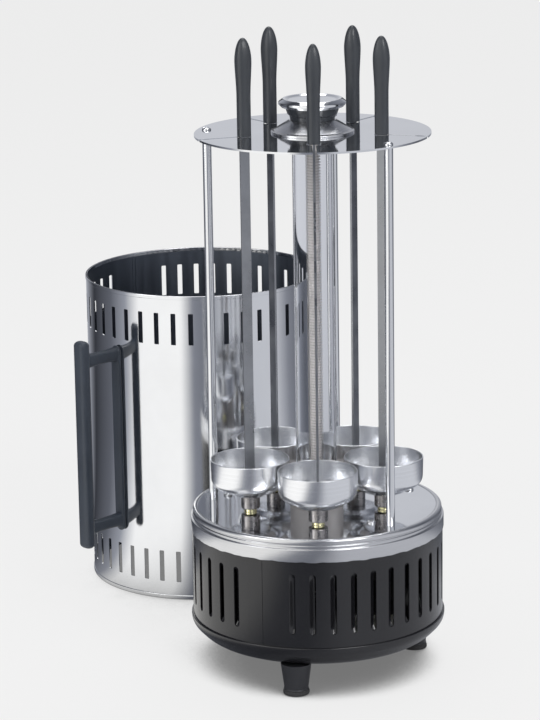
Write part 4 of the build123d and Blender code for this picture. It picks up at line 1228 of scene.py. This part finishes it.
class GRILL_OT_casing(bpy.types.Operator):
    """Makes the slotted mirror casing with its hems and weld, and its moulded handle"""

    bl_idname = "grill.casing"
    bl_label = "Casing"

    def execute(self, context):
        self.shell()
        self.handle()
        dress(plain_finish("zinc_plate"), "casing_screws")
        return {"FINISHED"}

    def shell(self):
        s = sizes()
        outside = mirror_steel("casing_mirror", wave=0.035, stretch=(8, 8, 200))
        inside = plain_finish("unpolished_steel")
        radius = reach("casing_shell") - s.hem
        wall = radius - s.casing_sheet
        low, high = ends("casing_shell")
        first = s.casing_slot_margin - SLOT_MARGIN
        last = s.casing_slot_margin + s.casing_slot_length + SLOT_MARGIN
        slot = (s.casing_slot_width, s.casing_slot_length, s.casing_slot_corner)
        tube = SheetTube(CASING, radius, s.casing_sheet, CASING_SLOTS, CASING_LEFT_OUT, CASING_SEAM)
        tube.plain_band(low, low + first, 2)
        tube.slotted_band(low + first, low + last, *slot)
        tube.plain_band(low + last, high - last, 6)
        tube.slotted_band(high - last, high - first, *slot)
        tube.plain_band(high - first, high, 2)
        pieces = [tube.finished("casing_wall", outside, inside)]
        for tip, side in ((low, 1), (high, -1)):
            root = tip + side * s.hem_height
            shape = turned([
                (wall - 0.0003, root, 0),
                (wall - 0.0003, tip, 0.0004),
                (radius + s.hem, tip, 0.0005),
                (radius + s.hem, root, 0.0004),
                (radius - 0.0001, root + side * 0.0003, 0),
            ], CASING, HEM_STEPS)
            pieces.append(piece_from("hem", shape, outside))
        for offset in (-WELD_OFFSET, WELD_OFFSET):
            azimuth = CASING_SEAM + math.degrees(offset / radius)
            for deep, proud, material in (
                (wall - 0.00035, wall + 0.0001, inside),
                (radius - 0.0001, radius + 0.00015, outside),
            ):
                pieces.append(curved_strip(
                    "weld", CASING, deep, proud, low + s.hem_height, high - s.hem_height, azimuth,
                    WELD_WIDTH, material,
                ))
        settle(join("casing_sheet", pieces), "casing", "mirror_steel", "casing_shell")

    def handle(self):
        slate = moulded("casing_handle_slate", "slate", 0.38, 0.5)
        wall = reach("casing_shell") - sizes().hem
        strip = ends("casing_handle_mount")
        pieces = [bar("mount_strip", wall + 0.002, strip, 0.010, 0.004, 0.0018, 0.0048, slate)]
        arm_low = strip[0] + ARM_RISE
        for height in (arm_low, arm_low + ARM_SPAN):
            pieces.append(self.arm(wall, height, slate))
        mount = join("handle_mount_moulded", pieces)
        settle(mount, "casing", "handle_slate", "casing_handle_mount")
        grip = bar(
            "handle_grip_moulded", wall + GRIP_REACH, ends("casing_handle_grip"),
            0.013, 0.010, 0.004, 0.0036, slate,
        )
        settle(grip, "casing", "handle_slate", "casing_handle_grip")

    def arm(self, wall, height, slate):
        """One arm, waisted between the strip and the grip."""
        right, _ = facing(HANDLE_AZIMUTH)
        sections = []
        for step in range(ARM_STEPS + 1):
            share = step / ARM_STEPS
            waist = math.sin(share * math.pi) ** 0.7 if 0 < share < 1 else 0
            tall = 0.00625 - 0.0011 * waist
            wide = 0.0045 - 0.0005 * waist
            out = wall + ARM_START + (ARM_END - ARM_START) * share
            centre = place(CASING, out, HANDLE_AZIMUTH, height)
            sections.append(oval(centre, right, UP, wide, tall, 3.2, 32))
        return lofted("handle_arm", sections, slate)


def bar(name, radius, heights, across, deep, rounding, end_rounding, material):
    """An upright moulded bar by the casing's wall, rounded along its edges and at its ends."""
    steps = 6
    low, high = heights
    half_tall = (high - low) / 2
    lower = []
    for step in range(steps + 1):
        turn = math.pi / 2 * step / steps
        rise, inset = end_rounding * (1 - math.cos(turn)), end_rounding * (1 - math.sin(turn))
        lower.append((rise - half_tall, inset))
    right, outward = facing(HANDLE_AZIMUTH)
    sections = []
    for height, inset in lower + [(-height, inset) for height, inset in reversed(lower)]:
        half_x, half_y = across / 2 - inset, deep / 2 - min(inset, deep / 2 * 0.8)
        corner = min(rounding, half_x * 0.98, half_y * 0.98)
        centre = place(CASING, radius, HANDLE_AZIMUTH, (low + high) / 2 + height)
        sections.append(rounded_rectangle(centre, right, -outward, half_x, half_y, corner))
    return lofted(name, sections, material)


def rounded_rectangle(centre, right, forward, half_x, half_y, corner, steps=6):
    """A ring of points on a rectangle with rounded corners."""
    ring = []
    for quarter, (sx, sy) in enumerate(((1, 1), (-1, 1), (-1, -1), (1, -1))):
        for step in range(steps + 1):
            angle = math.pi / 2 * (quarter + step / steps)
            x = sx * (half_x - corner) + corner * math.cos(angle)
            y = sy * (half_y - corner) + corner * math.sin(angle)
            ring.append(centre + right * x + forward * y)
    return ring


# ---------------------------------------------------------------- inner works


class GRILL_OT_works(bpy.types.Operator):
    """Gives the gears, motor, inner plates and fasteners in the base their finishes"""

    bl_idname = "grill.works"
    bl_label = "Inner works"

    def execute(self, context):
        dress(
            plain_finish("zinc_plate"), "gear_plate", "gear_plate_pillars", "hub_sleeve", "motor_can",
            "hex_nuts", "base_screws",
        )
        gears = [f"spindle_gear_{n}" for n in SPINDLES]
        dress(moulded("gear_nylon", "nylon", 0.3, 0.42, 900), "drive_gear", *gears)
        dress(moulded("terminal_resin", "resin", 0.22, 0.34, 700), "terminal_block")
        dress(plain_finish("turned_brass"), "motor_pinion")
        dress(plain_finish("foot_rubber"), "cord_grommet")
        return {"FINISHED"}


# ---------------------------------------------------------------- stage

FLOOR_HALF, FLOOR_DROP = 15.0, 0.0004
FLOOR_SHADED = 0.11  # share of the floor's colour that takes light and shadow
# Painted reflection: bands that only glossy rays see in the world and on the floor, set to lay bright and
# dark reflections on the metal.
PAINTED_REFLECTION_BANDS = (  # azimuth and brightness
    (-180, 0.66), (-155, 0.4), (-130, 0.05), (-98, 0.16), (-78, 0.4), (-62, 1.08), (-20, 1.1),
    (-8, 0.3), (6, 0.22), (20, 0.64), (72, 0.68), (90, 0.3), (112, 0.14), (150, 0.3), (180, 0.68),
)
DARK_TINT = (-0.2, -0.14, 0.05)  # what the darker painted reflection bands add to red, green and blue
LAMPS = (  # name, place, height aimed at, width, height, power
    ("key_lamp", (1.1, -1.9, 1.9), 0.22, 1.1, 1.1, 26),
    ("fill_lamp", (-1.9, -1.2, 1.2), 0.22, 0.9, 1.4, 9),
    ("top_lamp", (0.1, 0.5, 2.3), 0.2, 1.4, 1.4, 16),
)
CAMERA_FROM_GRILL = Vector((-0.0353, -2.2466, 0.8098))
CAMERA_LENS = 148.34
CAMERA_PITCH, CAMERA_ROLL = math.radians(14.08), math.radians(-0.89)


def light_by_ray(tree, output, vector, centre):
    """Ends a tree: the camera gets its node "seen", metal "mirrored", and all else "lit".

    What metal sees is a painted reflection: a ring of bright and dark bands about a centre, which the
    camera and diffuse light do not see.
    """
    wire(tree, {
        "about": ("ShaderNodeMapping", {"Location": -centre}),
        "parts": "ShaderNodeSeparateXYZ",
        "forward": ("ShaderNodeMath", {"operation": "MULTIPLY", 1: -1}),
        "turn": ("ShaderNodeMath", {"operation": "ARCTAN2"}),
        "share": ranged(0, 1, -math.pi, math.pi),
        "walls": "ShaderNodeValToRGB",
        "path": "ShaderNodeLightPath",
        "direct": ("ShaderNodeMath", {"operation": "MAXIMUM"}),
        "pick_seen": "ShaderNodeMixShader",
        "pick_mirrored": "ShaderNodeMixShader",
        "out": output,
    }, vector + " > about.Vector; about.Vector > parts.0; parts.Y > forward.0; parts.X > turn.0; "
        "forward.0 > turn.1; turn.0 > share.Value; share.Result > walls.Fac; "
        "walls.Color > mirrored.Color; path.Is Camera Ray > direct.0; "
        "path.Is Transmission Ray > direct.1; direct.0 > pick_seen.Fac; lit.0 > pick_seen.1; "
        "seen.0 > pick_seen.2; path.Is Glossy Ray > pick_mirrored.Fac; "
        "pick_seen.0 > pick_mirrored.1; mirrored.0 > pick_mirrored.2; pick_mirrored.0 > out.Surface")
    # The painted reflection bands, set as stops of the ring.
    stops = tree.nodes["walls"].color_ramp.elements
    while len(stops) < len(PAINTED_REFLECTION_BANDS):
        stops.new(0.5)
    for stop, (azimuth, bright) in zip(stops, PAINTED_REFLECTION_BANDS):
        stop.position = (azimuth + 180) / 360
        stop.color = (*[bright * (1 + tint * (1 - bright)) for tint in DARK_TINT], 1)


class GRILL_OT_stage(bpy.types.Operator):
    """Sets up the pale floor, the soft lamps, the world and the camera"""

    bl_idname = "grill.stage"
    bl_label = "Stage"

    def execute(self, context):
        self.floor()
        self.world()
        self.lamps()
        self.camera()
        context.scene.view_settings.view_transform = "Standard"
        return {"FINISHED"}

    def floor(self):
        """A floor that the camera sees as even as the background, with a faint real shadow from its small
        diffuse share and a painted shadow where ambient occlusion dims its glow.
        """
        shape = bmesh.new()
        corners = [(-1, -1), (1, -1), (1, 1), (-1, 1)]
        shape.faces.new([
            shape.verts.new((x * FLOOR_HALF, y * FLOOR_HALF, -FLOOR_DROP)) for x, y in corners
        ])
        material = bpy.data.materials.new("stage_floor")
        material.use_nodes = True
        tree = material.node_tree
        tree.nodes.clear()
        pale = (*colours().floor, 1)
        shaded = (*[part * FLOOR_SHADED for part in colours().floor], 1)
        # Painted shadow: ambient occlusion dims the camera's glow beneath and inside the grill, and dims
        # the painted reflection bands near it; only the small diffuse share takes real light and shadow.
        wire(tree, {
            "spot": "ShaderNodeTexCoord",
            "shaded": ("ShaderNodeBsdfDiffuse", {"Color": shaded}),
            "glow": ("ShaderNodeEmission", {"Color": pale}),
            "seen": "ShaderNodeAddShader",
            "lit": ("ShaderNodeBsdfDiffuse", {"Color": pale}),
            "mirrored": "ShaderNodeEmission",
            "open": ("ShaderNodeAmbientOcclusion", {"Distance": 0.3}),
            "glow_share": ranged(0.2, 0.92, 0.28, 0.52),
            "mirrored_share": ranged(0.3, 1, 0.35, 0.85),
        }, "open.AO > glow_share.Value; glow_share.Result > glow.Strength; shaded.0 > seen.0; "
            "glow.0 > seen.1; open.AO > mirrored_share.Value; mirrored_share.Result > mirrored.Strength")
        light_by_ray(tree, "ShaderNodeOutputMaterial", "spot.Object", CASING)
        floor = piece_from("stage_floor", shape, material)

    def world(self):
        world = bpy.data.worlds.new("studio")
        bpy.context.scene.world = world
        world.use_nodes = True
        tree = world.node_tree
        tree.nodes.clear()
        wire(tree, {
            "spot": "ShaderNodeTexCoord",
            "lit": ("ShaderNodeBackground", {"Color": (1, 1, 1, 1), "Strength": 0.55}),
            "seen": ("ShaderNodeBackground", {"Color": (*colours().floor, 1), "Strength": 1.0}),
            "mirrored": "ShaderNodeBackground",
        })
        light_by_ray(tree, "ShaderNodeOutputWorld", "spot.Generated", ORIGIN)

    def lamps(self):
        for name, spot, aimed_at, width, tall, power in LAMPS:
            data = bpy.data.lights.new(name, "AREA")
            data.shape = "RECTANGLE"
            data.size, data.size_y, data.energy = width, tall, power
            lamp = add_object(name, data)
            lamp.location = spot
            aim = UP * aimed_at - Vector(spot)
            lamp.rotation_euler = aim.to_track_quat("-Z", "Y").to_euler()

    def camera(self):
        data = bpy.data.cameras.new("camera")
        data.sensor_width, data.sensor_fit = 36.0, "AUTO"
        data.lens = CAMERA_LENS
        data.clip_start, data.clip_end = 0.05, 100.0
        forward = Vector((0, math.cos(CAMERA_PITCH), -math.sin(CAMERA_PITCH)))
        right = Vector((1, 0, 0))
        up = right.cross(forward)
        x_axis = math.cos(CAMERA_ROLL) * right + math.sin(CAMERA_ROLL) * up
        y_axis = -math.sin(CAMERA_ROLL) * right + math.cos(CAMERA_ROLL) * up
        turn = Matrix((x_axis, y_axis, -forward)).transposed()
        camera = add_object("camera", data)
        camera.matrix_world = Matrix.Translation(GRILL + CAMERA_FROM_GRILL) @ turn.to_4x4()
        bpy.context.scene.camera = camera


# ---------------------------------------------------------------- panel and registration


class GRILL_PT_panel(bpy.types.Panel):
    """Lists the grill's groups of pieces and their sizes and colours"""

    bl_idname = "GRILL_PT_panel"
    bl_label = "Skewer grill"
    bl_space_type = "VIEW_3D"
    bl_region_type = "UI"
    bl_category = "Grill"

    def draw(self, context):
        layout = self.layout
        for operator in OPERATORS:
            layout.operator(operator.bl_idname)
        for group in (context.scene.grill_sizes, context.scene.grill_colours):
            box = layout.box()
            for name in group.__annotations__:
                box.prop(group, name)


OPERATORS = (
    GRILL_OT_stage,
    GRILL_OT_housing,
    GRILL_OT_deck,
    GRILL_OT_cups,
    GRILL_OT_skewers,
    GRILL_OT_heater,
    GRILL_OT_top,
    GRILL_OT_casing,
    GRILL_OT_works,
)
CLASSES = (GrillSizes, GrillColours, *OPERATORS, GRILL_PT_panel)


def register():
    for entry in CLASSES:
        bpy.utils.register_class(entry)
    bpy.types.Scene.grill_sizes = bpy.props.PointerProperty(type=GrillSizes)
    bpy.types.Scene.grill_colours = bpy.props.PointerProperty(type=GrillColours)


def unregister():
    del bpy.types.Scene.grill_sizes
    del bpy.types.Scene.grill_colours
    for entry in reversed(CLASSES):
        bpy.utils.unregister_class(entry)


def main():
    register()
    bpy.ops.grill.stage()
    bpy.ops.grill.housing()
    bpy.ops.grill.deck()
    bpy.ops.grill.cups()
    bpy.ops.grill.skewers()
    bpy.ops.grill.heater()
    bpy.ops.grill.top()
    bpy.ops.grill.casing()
    bpy.ops.grill.works()


if __name__ == "__main__":
    main()
